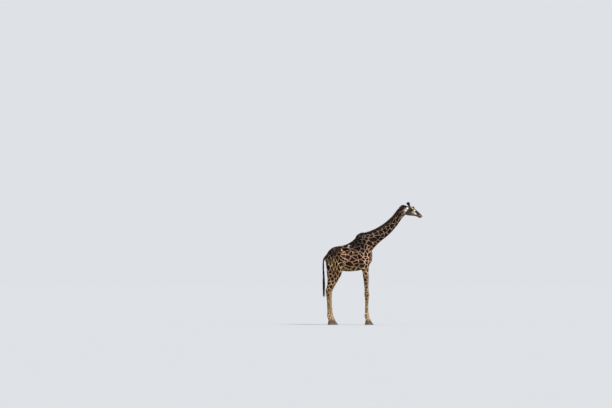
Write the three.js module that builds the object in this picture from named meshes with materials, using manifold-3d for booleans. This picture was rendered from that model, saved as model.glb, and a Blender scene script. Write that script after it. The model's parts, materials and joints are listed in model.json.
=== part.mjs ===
// An adult giraffe standing with its neck stretched forward, life-size, as a museum model.
// Millimetres, +Z up, +X towards the muzzle, the animal's right side at -Y, soles at Z 0.
// The body is lofted whole from named stations, joined, and then parted with thin cuts.
import * as THREE from "three";
import { mergeVertices } from "three/addons/utils/BufferGeometryUtils.js";
import Module from "manifold-3d";

const wasm = await Module();
wasm.setup();

// ---------------------------------------------------------------- driving dimensions
const CUT = 0.4; // width of the cuts between neighbouring parts
const HEAD_LENGTH = 690; // poll to nose tip
const HEAD_PITCH = 25.5; // degrees that the muzzle hangs below level
const HEAD_TURN = 8; // degrees that the muzzle is turned to the animal's right
const POLL = [1868, 3925]; // x and z of the head's own origin, at the back of the skull
const MANE_HEIGHT = 62; // upright hair above the crest of the neck
const EYE_RADIUS = 26;
const EYE_AT = [288, 86, 58]; // centre of the left eye, in the head's own frame
const OSSICONE_LENGTH = 194; // horn, from inside the skull to the top of its knob
const EAR_LENGTH = 172;
const HOOF_HEIGHT = 140;
const CLEFT = 9; // space between the two claws of a foot
const SIDES = { left: 1, right: -1 };

// ---------------------------------------------------------------- lofting
// A station is one cross-section, between an upper (or front) edge point and a lower (or rear)
// one, both as [x, z]. half is its half width, y its sideways place, widest the share of the way
// from the lower edge to the upper at which it is widest. crest and keel say how round the two
// ends are: 2 is an ellipse, less is sharper, more is squarer.
const station = (upper, lower, half, more = {}) => ({
  upper,
  lower,
  half,
  y: 0,
  widest: 0.5,
  crest: 2,
  keel: 2,
  ...more,
});

const FIELDS = ["half", "y", "widest", "crest", "keel"];

// The Catmull-Rom value between b and c, t of the way along.
function between(a, b, c, d, t) {
  const slopeIn = (c - a) / 2;
  const slopeOut = (d - b) / 2;
  const cubic = 2 * b - 2 * c + slopeIn + slopeOut;
  const square = -3 * b + 3 * c - 2 * slopeIn - slopeOut;
  return ((cubic * t + square) * t + slopeIn) * t + b;
}

// The station t of the way from stations[i] to the next one.
function stationAt(stations, i, t) {
  const near = [i - 1, i, i + 1, i + 2].map((k) => stations[Math.min(Math.max(k, 0), stations.length - 1)]);
  const mix = (read) => between(...near.map(read), t);
  const made = {
    upper: [mix((s) => s.upper[0]), mix((s) => s.upper[1])],
    lower: [mix((s) => s.lower[0]), mix((s) => s.lower[1])],
  };
  for (const field of FIELDS) made[field] = mix((s) => s[field]);
  return made;
}

// The ring of points of one station, grown outwards by grow.
function ringOf(s, sides, grow) {
  const upper = new THREE.Vector3(s.upper[0], s.y, s.upper[1]);
  const lower = new THREE.Vector3(s.lower[0], s.y, s.lower[1]);
  const up = upper.clone().sub(lower);
  const height = up.length();
  up.normalize();
  const middle = lower.clone().addScaledVector(up, height * s.widest);
  const ring = [];
  for (let k = 0; k < sides; k++) {
    const angle = (2 * Math.PI * (k + 0.5)) / sides;
    const across = Math.cos(angle);
    const along = Math.sin(angle);
    const power = 2 / (along > 0 ? s.crest : s.keel);
    const reach = along > 0 ? height * (1 - s.widest) : height * s.widest;
    const point = middle.clone();
    point.y += Math.sign(across) * Math.abs(across) ** power * (s.half + grow);
    point.addScaledVector(up, Math.sign(along) * Math.abs(along) ** power * (reach + grow));
    ring.push(point);
  }
  return ring;
}

const centreOf = (ring) =>
  ring.reduce((sum, p) => sum.add(p), new THREE.Vector3()).divideScalar(ring.length);

// Rings that round off the end of a loft, bulging out by bulge past the last ring.
function domeRings(last, before, bulge, count = 3) {
  const centre = centreOf(last);
  const out = centre.clone().sub(centreOf(before)).normalize();
  const rings = [];
  for (let k = 1; k < count; k++) {
    const turn = (Math.PI / 2) * (k / count);
    const shift = out.clone().multiplyScalar(bulge * Math.sin(turn));
    rings.push(last.map((p) => p.clone().sub(centre).multiplyScalar(Math.cos(turn)).add(centre).add(shift)));
  }
  return { rings, pole: centre.clone().addScaledVector(out, bulge) };
}

// A closed geometry over rings of equal length, ended by two poles.
function closedGeometry(rings, startPole, endPole) {
  const sides = rings[0].length;
  const points = [...rings.flat(), startPole, endPole];
  const first = points.length - 2;
  const faces = [];
  for (let r = 0; r + 1 < rings.length; r++)
    for (let k = 0; k < sides; k++) {
      const a = r * sides + k;
      const b = r * sides + ((k + 1) % sides);
      faces.push([a, b, b + sides], [a, b + sides, a + sides]);
    }
  const lastRing = (rings.length - 1) * sides;
  for (let k = 0; k < sides; k++) {
    const next = (k + 1) % sides;
    faces.push([first, next, k], [first + 1, lastRing + k, lastRing + next]);
  }
  const volume = faces.reduce((sum, [a, b, c]) => sum + points[a].dot(points[b].clone().cross(points[c])), 0);
  if (volume < 0) faces.forEach((face) => face.reverse());
  return new THREE.BufferGeometry().setFromPoints(points).setIndex(faces.flat());
}

// A manifold solid of a closed three.js geometry.
function solidOf(geometry) {
  const bare = geometry.clone();
  bare.deleteAttribute("normal");
  bare.deleteAttribute("uv");
  const merged = mergeVertices(bare, 1e-3);
  const vertProperties = merged.attributes.position.array;
  return new wasm.Manifold(
    new wasm.Mesh({ numProp: 3, vertProperties, triVerts: new Uint32Array(merged.index.array) }),
  );
}

// A solid through the stations. bulges are how far the two ends round out, and 0 leaves one flat.
function loft(stations, { sides = 16, steps = 2, bulges = [0, 0], grow = 0 } = {}) {
  const rings = [];
  for (let i = 0; i + 1 < stations.length; i++)
    for (let k = 0; k < steps; k++) rings.push(ringOf(stationAt(stations, i, k / steps), sides, grow));
  rings.push(ringOf(stations.at(-1), sides, grow));
  const ends = [
    { last: rings[0], before: rings[1], bulge: bulges[0] },
    { last: rings.at(-1), before: rings.at(-2), bulge: bulges[1] },
  ].map(({ last, before, bulge }) =>
    bulge ? domeRings(last, before, bulge + grow) : { rings: [], pole: centreOf(last) },
  );
  const all = [...ends[0].rings.reverse(), ...rings, ...ends[1].rings];
  return solidOf(closedGeometry(all, ends[0].pole, ends[1].pole));
}

// An egg-shaped swelling, such as a muscle, its long axis tipped by tilt degrees about Y.
function swelling(centre, radii, tilt, grow = 0, detail = [10, 7]) {
  const shape = new THREE.SphereGeometry(1, ...detail);
  shape.rotateX(Math.PI / 2);
  shape.scale(...radii.map((r) => r + grow));
  shape.rotateY(THREE.MathUtils.degToRad(tilt));
  shape.translate(...centre);
  return solidOf(shape);
}

const joined = (solids) => solids.reduce((sum, s) => sum.add(s));

// The space on the far side of every plane { at, facing } (a point and a normal), grown by grow.
function region(planes, grow = 0) {
  const everywhere = solidOf(new THREE.BoxGeometry(20000, 20000, 20000));
  return planes.reduce((space, { at, facing }) => {
    const normal = new THREE.Vector3(...facing).normalize();
    return space.trimByPlane(normal.toArray(), normal.dot(new THREE.Vector3(...at)) - grow);
  }, everywhere);
}

// ---------------------------------------------------------------- trunk
// From the rump to the breast, with the high withers that a giraffe's neck hangs from.
const trunkStation = (x, top, bottom, half, more) => station([x, top], [x, bottom], half, more);
const TRUNK = [
  trunkStation(-745, 2352, 2085, 92, { crest: 2, widest: 0.5 }), // root of the tail
  trunkStation(-680, 2470, 1985, 158, { crest: 1.8, widest: 0.5 }),
  trunkStation(-590, 2560, 1890, 212, { crest: 1.7, widest: 0.48 }),
  trunkStation(-480, 2618, 1838, 250, { crest: 1.7, widest: 0.46 }), // hips
  trunkStation(-350, 2642, 1812, 276, { crest: 1.75, widest: 0.45 }),
  trunkStation(-190, 2666, 1800, 300, { crest: 1.8, widest: 0.45 }), // loin and flank
  trunkStation(-20, 2732, 1788, 322, { crest: 1.8, widest: 0.45, keel: 2.1 }),
  trunkStation(130, 2822, 1788, 326, { crest: 1.65, widest: 0.44, keel: 2.1 }), // barrel
  trunkStation(230, 2925, 1798, 314, { crest: 1.5, widest: 0.42 }),
  trunkStation(330, 3018, 1815, 298, { crest: 1.42, widest: 0.4 }), // withers
  trunkStation(450, 3062, 1838, 282, { crest: 1.42, widest: 0.4 }),
  trunkStation(570, 3040, 1872, 258, { crest: 1.5, widest: 0.42 }),
  trunkStation(665, 2880, 1940, 222, { crest: 1.7, widest: 0.46 }),
  trunkStation(740, 2620, 2080, 166, { crest: 1.9, widest: 0.5 }), // breast
];
const TRUNK_LOOK = { sides: 20, bulges: [46, 72] };

// ---------------------------------------------------------------- neck
const NECK = [
  station([430, 3010], [690, 2330], 205, { crest: 1.5, widest: 0.4 }),
  station([640, 3062], [835, 2548], 172, { crest: 1.6, widest: 0.42 }),
  station([862, 3142], [1042, 2762], 143, { crest: 1.7, widest: 0.44 }),
  station([1082, 3256], [1258, 2934], 122, { crest: 1.75, widest: 0.46 }),
  station([1292, 3384], [1462, 3128], 108, { crest: 1.8, widest: 0.47 }),
  station([1482, 3548], [1632, 3328], 98, { crest: 1.85, widest: 0.48 }),
  station([1642, 3728], [1772, 3534], 90, { crest: 1.85, widest: 0.5 }),
  station([1762, 3868], [1878, 3662], 88, { crest: 1.9, widest: 0.5 }),
  station([1862, 3944], [1985, 3735], 80, { crest: 2, widest: 0.5 }),
];
const NECK_LOOK = { sides: 16, bulges: [20, 20] };

// The mane stands on the crest of the neck, from the withers to between the ears.
const MANE = NECK.map(({ upper, lower }, i) => {
  const up = new THREE.Vector2(upper[0] - lower[0], upper[1] - lower[1]).normalize();
  const height = MANE_HEIGHT * (i === 0 ? 0.55 : i === NECK.length - 1 ? 0.8 : 1);
  return station(
    [upper[0] + up.x * height, upper[1] + up.y * height],
    [upper[0] - up.x * 34, upper[1] - up.y * 34],
    i === 0 ? 16 : 24,
    { crest: 1.4, keel: 2.4, widest: 0.3 },
  );
});

// ---------------------------------------------------------------- head
// Built level in its own frame, with the poll at the origin and the nose along +X.
const SKULL = [
  station([-40, 18], [-30, -120], 58, { widest: 0.6 }),
  station([30, 68], [30, -128], 84, { widest: 0.62 }),
  station([100, 98], [100, -104], 98, { widest: 0.62, crest: 2.2 }), // between the ears
  station([175, 122], [175, -86], 100, { widest: 0.6, crest: 2.3 }), // foot of the horns
  station([250, 138], [250, -72], 98, { widest: 0.6, crest: 2.2 }), // brow
  station([320, 128], [320, -60], 86, { widest: 0.58, crest: 2 }),
  station([395, 106], [395, -46], 68, { widest: 0.52, crest: 1.9 }),
  station([470, 86], [470, -40], 55, { widest: 0.46, crest: 1.9 }), // bridge of the nose
  station([545, 64], [545, -38], 51, { widest: 0.42, crest: 2.1 }),
  station([605, 46], [605, -36], 54, { widest: 0.42, crest: 2.3 }), // nostrils
  station([648, 24], [648, -36], 50, { widest: 0.45, crest: 2.2 }),
  station([672, 4], [672, -34], 38, { widest: 0.5 }), // upper lip
];
const SKULL_LOOK = { sides: 16, bulges: [20, HEAD_LENGTH - 672] };
const MANDIBLE = [
  station([50, -20], [40, -160], 60, { widest: 0.5 }),
  station([125, 10], [115, -196], 76, { widest: 0.54, keel: 1.8 }), // angle of the jaw
  station([205, 10], [205, -188], 78, { widest: 0.54, keel: 1.8 }),
  station([290, 0], [290, -158], 66, { widest: 0.52, keel: 1.8 }),
  station([380, -4], [380, -122], 53, { widest: 0.5, keel: 1.9 }),
  station([465, -8], [465, -92], 44, { widest: 0.5 }),
  station([540, -14], [540, -84], 42, { widest: 0.5 }),
  station([596, -18], [596, -90], 44, { widest: 0.5, keel: 2.2 }), // chin
  station([640, -24], [640, -70], 36, { widest: 0.55 }), // lower lip
];
const MANDIBLE_LOOK = { sides: 10, steps: 1, bulges: [20, 14] };
const FOREHEAD_BUMP = { centre: [270, 0, 128], radii: [60, 45, 43], tilt: 14 };
const NOSTRIL_SWELL = { centre: [606, 30, 12], radii: [46, 24, 28], tilt: 22 };
const BROW = { centre: [284, 60, 66], radii: [66, 50, 46], tilt: 12 };
const CHEEK = { centre: [180, 48, -80], radii: [108, 42, 84], tilt: 24 };

const headFrame = new THREE.Matrix4()
  .makeTranslation(POLL[0], 0, POLL[1])
  .multiply(new THREE.Matrix4().makeRotationZ(THREE.MathUtils.degToRad(-HEAD_TURN)))
  .multiply(new THREE.Matrix4().makeRotationY(THREE.MathUtils.degToRad(HEAD_PITCH)));
const inHeadFrame = (solid) => solid.transform(headFrame.elements);
const mirrored = ([x, y, z], side) => [x, y * side, z];

// The whole head without its horns and ears, grown outwards by grow.
function headSolid(grow = 0) {
  const pieces = [
    loft(SKULL, { ...SKULL_LOOK, grow }),
    loft(MANDIBLE, { ...MANDIBLE_LOOK, grow }),
    swelling(FOREHEAD_BUMP.centre, FOREHEAD_BUMP.radii, FOREHEAD_BUMP.tilt, grow, [8, 6]),
  ];
  for (const side of Object.values(SIDES))
    for (const { centre, radii, tilt } of [NOSTRIL_SWELL, BROW, CHEEK])
      pieces.push(swelling(mirrored(centre, side), radii, tilt, grow));
  return inHeadFrame(joined(pieces));
}

// A horn: a furred bony rod with a round knob, leaning back from the top of the skull.
const OSSICONE = {
  foot: [176, 54, 86],
  lean: { left: 48, right: 56 }, // degrees back from upright on the level head
  splay: 9,
  profile: [40, 34, 27, 24, 23, 25, 30, 31, 22],
};
function ossiconeSolid(side) {
  const { foot, lean, splay, profile } = OSSICONE;
  const outline = profile.map((r, i) => new THREE.Vector2(r, (i / profile.length) * OSSICONE_LENGTH));
  outline.unshift(new THREE.Vector2(0, 0));
  outline.push(new THREE.Vector2(0, OSSICONE_LENGTH));
  const shape = new THREE.LatheGeometry(outline, 9);
  shape.rotateX(Math.PI / 2); // the lathe's axis now points up
  shape.rotateX(THREE.MathUtils.degToRad(-splay * side));
  shape.rotateY(THREE.MathUtils.degToRad(-(side > 0 ? lean.left : lean.right)));
  shape.translate(...mirrored(foot, side));
  return inHeadFrame(solidOf(shape));
}

// An ear: a cupped leaf on a short round stalk, its hollow facing out and forwards.
const EAR = { root: [98, 76, 62], wall: 11, width: 43, cup: 24, back: 146, rise: -1, roll: -42 };
function earSolid(side) {
  const rings = [];
  const COUNT = 8;
  const HALF_SIDES = 5;
  for (let i = 0; i <= COUNT; i++) {
    const share = i / COUNT;
    const along = share * EAR_LENGTH;
    const leaf = Math.sin(Math.PI * Math.min(0.16 + 0.84 * share, 0.985) ** 0.92);
    const width = EAR.width * leaf;
    const hollow = EAR.cup * Math.min(1, share * 2.6) * leaf;
    const wall = EAR.wall * (share < 0.25 ? 2.2 - 4.8 * share : 1) * (1 - 0.3 * share);
    const outer = [];
    const inner = [];
    for (let k = 0; k <= HALF_SIDES; k++) {
      const turn = (Math.PI * k) / HALF_SIDES;
      const across = Math.cos(turn) * width;
      outer.push(new THREE.Vector3(along, across, -Math.sin(turn) * (hollow + wall)));
      if (k > 0 && k < HALF_SIDES) inner.unshift(new THREE.Vector3(along, across, wall - Math.sin(turn) * hollow));
    }
    rings.push([...outer, ...inner]);
  }
  const end = centreOf(rings.at(-1)).add(new THREE.Vector3(5, 0, 0));
  const shape = closedGeometry(rings, centreOf(rings[0]), end);
  shape.rotateX(THREE.MathUtils.degToRad(EAR.roll));
  shape.rotateY(THREE.MathUtils.degToRad(-EAR.rise));
  shape.rotateZ(THREE.MathUtils.degToRad(EAR.back));
  if (side < 0) {
    shape.scale(1, -1, 1);
    const index = shape.index.array;
    for (let i = 0; i < index.length; i += 3) [index[i], index[i + 1]] = [index[i + 1], index[i]];
  }
  shape.translate(...mirrored(EAR.root, side));
  return inHeadFrame(solidOf(shape));
}

function eyeSolid(side, grow = 0) {
  const shape = new THREE.SphereGeometry(EYE_RADIUS + grow, 12, 8);
  shape.translate(...mirrored(EYE_AT, side));
  return inHeadFrame(solidOf(shape));
}

// ---------------------------------------------------------------- legs
// Each leg is a list of stations from inside the trunk down to the top of the hoof, as
// [front x, front z, rear x, rear z, half width, sideways place].
const limb = (rows) =>
  rows.map(([fx, fz, rx, rz, half, y]) => station([fx, fz], [rx, rz], half, { y, crest: 2.1, keel: 1.9 }));
const FRONT_LEG = limb([
  [640, 2420, 330, 2500, 78, 168],
  [708, 2240, 352, 2290, 92, 178],
  [712, 2070, 392, 2080, 98, 186],
  [684, 1915, 414, 1900, 94, 190], // elbow
  [672, 1760, 462, 1750, 84, 190],
  [668, 1560, 494, 1550, 72, 186],
  [656, 1360, 520, 1355, 60, 182],
  [652, 1190, 536, 1190, 53, 180],
  [662, 1085, 534, 1080, 58, 180],
  [670, 1005, 530, 1000, 63, 180], // knee
  [654, 905, 548, 900, 53, 180],
  [640, 800, 554, 800, 43, 180],
  [634, 600, 552, 600, 39, 180],
  [636, 420, 550, 420, 41, 181],
  [650, 315, 536, 315, 53, 182], // fetlock
  [664, 250, 546, 250, 54, 184],
  [690, 195, 566, 190, 54, 186],
  [712, HOOF_HEIGHT + CUT, 566, HOOF_HEIGHT + CUT, 66, 188],
]);
const HIND_LEG = limb([
  [-300, 2420, -640, 2420, 74, 128],
  [-236, 2290, -742, 2300, 96, 146],
  [-200, 2130, -772, 2150, 112, 160],
  [-186, 1960, -766, 1985, 116, 168],
  [-204, 1815, -746, 1850, 108, 174], // stifle
  [-262, 1672, -730, 1710, 92, 178],
  [-350, 1528, -716, 1565, 76, 180],
  [-452, 1375, -714, 1415, 63, 180],
  [-546, 1228, -730, 1275, 53, 180],
  [-598, 1118, -768, 1172, 51, 180], // point of the hock
  [-612, 1018, -766, 1055, 55, 180],
  [-622, 915, -738, 935, 50, 180],
  [-630, 790, -724, 795, 43, 180],
  [-630, 600, -716, 600, 39, 180],
  [-622, 420, -710, 420, 41, 181],
  [-604, 320, -718, 315, 52, 182], // fetlock
  [-588, 250, -704, 245, 53, 184],
  [-562, 195, -680, 188, 53, 186],
  [-540, HOOF_HEIGHT + CUT, -676, HOOF_HEIGHT + CUT, 63, 188],
]);

// A hoof pair: the toe slopes forwards to the ground and the sole is flat.
const hoofStations = (toe, heel, half) => [
  station([toe + 90, 0], [heel - 26, 0], half + 30, { crest: 2.2, keel: 2.6, widest: 0.46 }),
  station([toe + 88, 10], [heel - 28, 10], half + 32, { crest: 2.2, keel: 2.6, widest: 0.46 }),
  station([toe + 42, 74], [heel - 14, 74], half + 18, { crest: 2.2, keel: 2.5, widest: 0.46 }),
  station([toe + 2, HOOF_HEIGHT - 14], [heel - 4, HOOF_HEIGHT - 14], half + 5, { crest: 2.1, widest: 0.48 }),
  station([toe - 8, HOOF_HEIGHT], [heel + 4, HOOF_HEIGHT], half - 2, { crest: 2.1, widest: 0.48 }),
];

// A leg on one side, its foot set forwards by step while its top stays in place.
const LEG_TOP = 2100;
function onSide(stations, side, step) {
  const shifted = ([x, z]) => [x + step * Math.max(0, 1 - z / LEG_TOP), z];
  return stations.map((s) => ({ ...s, upper: shifted(s.upper), lower: shifted(s.lower), y: s.y * side }));
}
const LEGS = [
  { name: "front_leg_right", stations: FRONT_LEG, side: SIDES.right, step: 0 },
  { name: "front_leg_left", stations: FRONT_LEG, side: SIDES.left, step: 46 },
  { name: "hind_leg_right", stations: HIND_LEG, side: SIDES.right, step: 0 },
  { name: "hind_leg_left", stations: HIND_LEG, side: SIDES.left, step: 110 },
];

// ---------------------------------------------------------------- tail
const TAIL = [
  station([-735, 2352], [-742, 2262], 46),
  station([-792, 2316], [-768, 2236], 42),
  station([-846, 2225], [-796, 2195], 34),
  station([-868, 2100], [-818, 2092], 27),
  station([-866, 1920], [-822, 1920], 22),
  station([-856, 1720], [-818, 1722], 19),
  station([-846, 1530], [-814, 1532], 16),
];
const TUFT_TOP = 1532;
const TUFT = [
  station([-846, TUFT_TOP - 2 - CUT], [-814, TUFT_TOP - CUT], 16),
  station([-852, 1440], [-806, 1442], 24),
  station([-860, 1280], [-796, 1282], 33),
  station([-856, 1120], [-796, 1122], 30),
  station([-842, 980], [-802, 982], 18),
];

// ---------------------------------------------------------------- shoulder and thigh muscles
const MUSCLES = [
  { centre: [425, 118, 2650], radii: [150, 114, 350], tilt: 16 }, // shoulder blade
  { centre: [535, 148, 2290], radii: [150, 126, 240], tilt: -22 }, // shoulder and upper arm
  { centre: [-480, 118, 2320], radii: [240, 150, 235], tilt: 20 }, // rump
];

// ---------------------------------------------------------------- the cuts
const NECK_CUT = [{ at: [612, 0, 3090], facing: [0.949, 0, 0.316] }];
const HEAD_CUT = [{ at: [1802, 0, 3960], facing: [0.951, 0, 0.309] }];
const TAIL_CUT = [
  { at: [-792, 0, 2300], facing: [-1, 0, 0] },
  { at: [0, 0, 1400], facing: [0, 0, 1] },
];
const JAW_CUT = [
  { at: [640, 0, -27], facing: [-0.02, 0, -1] },
  { at: [262, 0, -30], facing: [0.8, 0, 0.6] },
].map(({ at, facing }) => ({
  at: new THREE.Vector3(...at).applyMatrix4(headFrame).toArray(),
  facing: new THREE.Vector3(...facing).transformDirection(headFrame).toArray(),
}));
const frontLegCut = (side) => [
  { at: [0, 78 * side, 1810], facing: [0, 0.86 * side, -0.51] },
  { at: [396, 0, 1900], facing: [1, 0, -0.25] },
  { at: [0, 14 * side, 0], facing: [0, side, 0] },
];
const hindLegCut = (side) => [
  { at: [0, 44 * side, 1830], facing: [0, 0.887 * side, -0.462] },
  { at: [-168, 0, 1800], facing: [-1, 0, -0.3] },
  { at: [0, 14 * side, 0], facing: [0, side, 0] },
];

// ---------------------------------------------------------------- building the parts
const parts = new Map();

function flesh() {
  const pieces = [loft(TRUNK, TRUNK_LOOK), loft(NECK, NECK_LOOK), headSolid()];
  pieces.push(loft(TAIL, { sides: 10, steps: 1, bulges: [10, 0] }));
  for (const { stations, side, step } of LEGS)
    pieces.push(loft(onSide(stations, side, step), { sides: 12, steps: 1, bulges: [60, 0] }));
  for (const side of Object.values(SIDES))
    for (const { centre, radii, tilt } of MUSCLES)
      pieces.push(swelling(mirrored(centre, side), radii, tilt));
  return joined(pieces);
}

// Takes the part of whole inside the planes, and returns what is left past a thin cut.
function part(whole, name, planes) {
  parts.set(name, whole.intersect(region(planes)));
  return whole.subtract(region(planes, CUT));
}

let body = flesh();
body = part(body, "head", HEAD_CUT);
body = part(body, "neck", NECK_CUT);
body = part(body, "tail", TAIL_CUT);
for (const { name, stations, side } of LEGS)
  body = part(body, name, stations === FRONT_LEG ? frontLegCut(side) : hindLegCut(side));
parts.set("trunk", body);

const headClearance = headSolid(CUT);
for (const [word, side] of Object.entries(SIDES)) {
  parts.set(`eye_${word}`, eyeSolid(side));
  parts.set(`ear_${word}`, earSolid(side).subtract(headClearance));
  parts.set(`ossicone_${word}`, ossiconeSolid(side).subtract(headClearance));
  parts.set("head", parts.get("head").subtract(eyeSolid(side, CUT)));
}
parts.set("head", part(parts.get("head"), "lower_jaw", JAW_CUT));

parts.set(
  "mane",
  loft(MANE, { sides: 6, bulges: [60, 34] })
    .subtract(loft(NECK, { ...NECK_LOOK, grow: CUT }))
    .subtract(loft(TRUNK, { ...TRUNK_LOOK, grow: CUT }))
    .subtract(headClearance),
);
parts.set("tail_tuft", loft(TUFT, { sides: 10, steps: 1, bulges: [0, 70] }));

for (const { name, stations, side, step } of LEGS) {
  const foot = stations.at(-1);
  const hoof = loft(onSide(hoofStations(foot.upper[0], foot.lower[0], foot.half), side, step), {
    sides: 12,
    steps: 1,
  }).translate([0, foot.y * side, 0]);
  for (const [claw, away] of Object.entries({ outer: side, inner: -side })) {
    const cleft = [{ at: [0, foot.y * side + (away * CLEFT) / 2, 0], facing: [0, away, 0] }];
    parts.set(`${name.replace("leg", "hoof")}_${claw}`, hoof.intersect(region(cleft)));
  }
}

// ---------------------------------------------------------------- the scene graph
const coat = new THREE.MeshStandardMaterial({ color: 0x6b4a30, roughness: 0.85, metalness: 0 });
const face = new THREE.MeshStandardMaterial({ color: 0x8f765c, roughness: 0.85, metalness: 0 });
const darkHair = new THREE.MeshStandardMaterial({ color: 0x17110d, roughness: 0.8, metalness: 0 });
const maneHair = new THREE.MeshStandardMaterial({ color: 0x4d2c18, roughness: 0.8, metalness: 0 });
const horn = new THREE.MeshStandardMaterial({ color: 0x2c221b, roughness: 0.7, metalness: 0 });
const eyeball = new THREE.MeshStandardMaterial({ color: 0x120b07, roughness: 0.08, metalness: 0 });
const FINISHES = [
  [/^eye/, eyeball],
  [/hoof/, horn],
  [/^(tail_tuft|ossicone)/, darkHair],
  [/^mane/, maneHair],
  [/^(head|lower_jaw|ear)/, face],
  [/./, coat],
];

function meshOf(name, solid) {
  const { numProp, vertProperties, triVerts } = solid.getMesh();
  const points = new Float32Array((vertProperties.length / numProp) * 3);
  for (let i = 0; i * numProp < vertProperties.length; i++)
    points.set(vertProperties.subarray(i * numProp, i * numProp + 3), i * 3);
  const geometry = new THREE.BufferGeometry()
    .setAttribute("position", new THREE.BufferAttribute(points, 3))
    .setIndex(new THREE.BufferAttribute(triVerts, 1));
  geometry.computeVertexNormals();
  const mesh = new THREE.Mesh(geometry, FINISHES.find(([pattern]) => pattern.test(name))[1]);
  mesh.name = name;
  return mesh;
}

const giraffe = new THREE.Group();
for (const [name, solid] of parts) giraffe.add(meshOf(name, solid));

// The origin is on the floor under the middle of the whole animal.
const extent = new THREE.Box3().setFromObject(giraffe);
const middle = extent.getCenter(new THREE.Vector3());
giraffe.children.forEach((mesh) => mesh.position.set(-middle.x, -middle.y, 0));

export default giraffe;
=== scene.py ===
"""A life-size giraffe for a museum: skin, coat, mane, horns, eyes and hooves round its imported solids.

The skin is one surface, made from copies of the solids of flesh. Skin and coat carry the same values at their
vertices: the place on the patches' sheet, the ground's colour, and how dark and how finely they are marked.
"""

import json
import logging
import math
from contextlib import contextmanager
from dataclasses import dataclass, field
from enum import Enum
from functools import partial
from typing import Callable, Iterator, Optional, Sequence

import bpy
import numpy as np
from bpy.types import Material, Mesh, Node, NodeSocket, Object
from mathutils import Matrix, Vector
from mathutils.bvhtree import BVHTree
from numpy.random import RandomState

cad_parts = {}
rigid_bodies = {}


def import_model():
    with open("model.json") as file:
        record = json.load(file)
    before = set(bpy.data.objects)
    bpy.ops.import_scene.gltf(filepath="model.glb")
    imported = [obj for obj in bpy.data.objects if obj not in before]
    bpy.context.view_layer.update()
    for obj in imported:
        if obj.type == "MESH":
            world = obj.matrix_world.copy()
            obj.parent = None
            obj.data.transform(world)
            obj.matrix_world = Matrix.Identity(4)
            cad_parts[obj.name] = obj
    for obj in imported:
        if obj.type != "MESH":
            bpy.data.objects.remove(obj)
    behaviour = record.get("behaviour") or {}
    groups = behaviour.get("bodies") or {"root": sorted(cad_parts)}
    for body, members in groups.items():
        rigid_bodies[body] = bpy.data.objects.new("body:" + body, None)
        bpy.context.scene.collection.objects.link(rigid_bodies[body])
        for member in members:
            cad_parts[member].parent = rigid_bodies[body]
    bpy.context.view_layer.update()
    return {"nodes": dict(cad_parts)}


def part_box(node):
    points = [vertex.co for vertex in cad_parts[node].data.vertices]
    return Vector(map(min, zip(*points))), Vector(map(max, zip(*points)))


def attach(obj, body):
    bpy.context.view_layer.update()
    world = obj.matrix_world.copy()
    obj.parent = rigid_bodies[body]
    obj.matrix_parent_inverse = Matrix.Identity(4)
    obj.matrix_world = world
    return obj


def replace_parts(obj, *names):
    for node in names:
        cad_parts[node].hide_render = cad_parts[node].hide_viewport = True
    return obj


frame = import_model()
LOG = logging.getLogger("giraffe")
Array = np.ndarray
Point = tuple[float, float, float]
Colour = tuple[float, float, float]
ORIGIN: Point = (0.0, 0.0, 0.0)
MERGE = 0.00005  # how near two corners of a solid's loose triangles are when they are one


# ---------------------------------------------------------------- small tools
class Side(Enum):
    """The animal's two sides, as the sign of Y."""

    LEFT = 1
    RIGHT = -1

    @property
    def word(self) -> str:
        """Gives the side's word in the nodes' names."""
        return self.name.lower()


def only(ob: Object) -> Object:
    """Selects one object alone and makes it active.

    Args:
        ob: The object to work on.

    Returns:
        The same object.
    """
    bpy.ops.object.select_all(action="DESELECT")
    ob.hide_set(False)
    ob.select_set(True)
    bpy.context.view_layer.objects.active = ob
    return ob


@contextmanager
def editing(ob: Object, faces: Optional[Array] = None) -> Iterator[None]:
    """Works on one object in edit mode, with all of it or some of its faces selected.

    Args:
        ob: The object to edit.
        faces: Whether each face is selected, or None for all of the object.

    Yields:
        Nothing.
    """
    only(ob)
    bpy.ops.object.mode_set(mode="EDIT")
    if faces is None:
        bpy.ops.mesh.select_all(action="SELECT")
    else:
        bpy.ops.mesh.select_mode(type="FACE")
        bpy.ops.mesh.select_all(action="DESELECT")
        bpy.ops.object.mode_set(mode="OBJECT")
        ob.data.polygons.foreach_set("select", faces)
        bpy.ops.object.mode_set(mode="EDIT")
    yield
    bpy.ops.object.mode_set(mode="OBJECT")


def apply_modifier(ob: Object, kind: str, **settings: object) -> None:
    """Adds a modifier, sets it and applies it.

    Args:
        ob: The object it works on.
        kind: The modifier's type.
        settings: Its settings by name.
    """
    only(ob)
    made = ob.modifiers.new(kind.lower(), kind)
    for name, value in settings.items():
        setattr(made, name, value)
    bpy.ops.object.modifier_apply(modifier=made.name)


def rows(items: object, key: str, kind: type = np.float32) -> Array:
    """Reads a value of three parts from each item of a mesh.

    Args:
        items: The mesh's vertices, normals, faces or triangles.
        key: The value's name.
        kind: The type of its parts.

    Returns:
        The values, of shape (n, 3).
    """
    flat = np.empty(len(items) * 3, dtype=kind)
    items.foreach_get(key, flat)
    return flat.reshape(-1, 3)


def positions(mesh: Mesh) -> Array:
    """Reads a mesh's vertex places as an array of shape (n, 3)."""
    return rows(mesh.vertices, "co").astype(np.float64)


def normals(mesh: Mesh) -> Array:
    """Reads a mesh's vertex normals as an array of shape (n, 3)."""
    return rows(mesh.vertex_normals, "vector").astype(np.float64)


def centres_of(mesh: Mesh) -> Array:
    """Reads the middle of each face as an array of shape (n, 3)."""
    return rows(mesh.polygons, "center").astype(np.float64)


def triangles(mesh: Mesh) -> Array:
    """Reads a mesh's faces as triangles, as an array of shape (n, 3) of vertex numbers."""
    mesh.calc_loop_triangles()
    return rows(mesh.loop_triangles, "vertices", np.int32)


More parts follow.
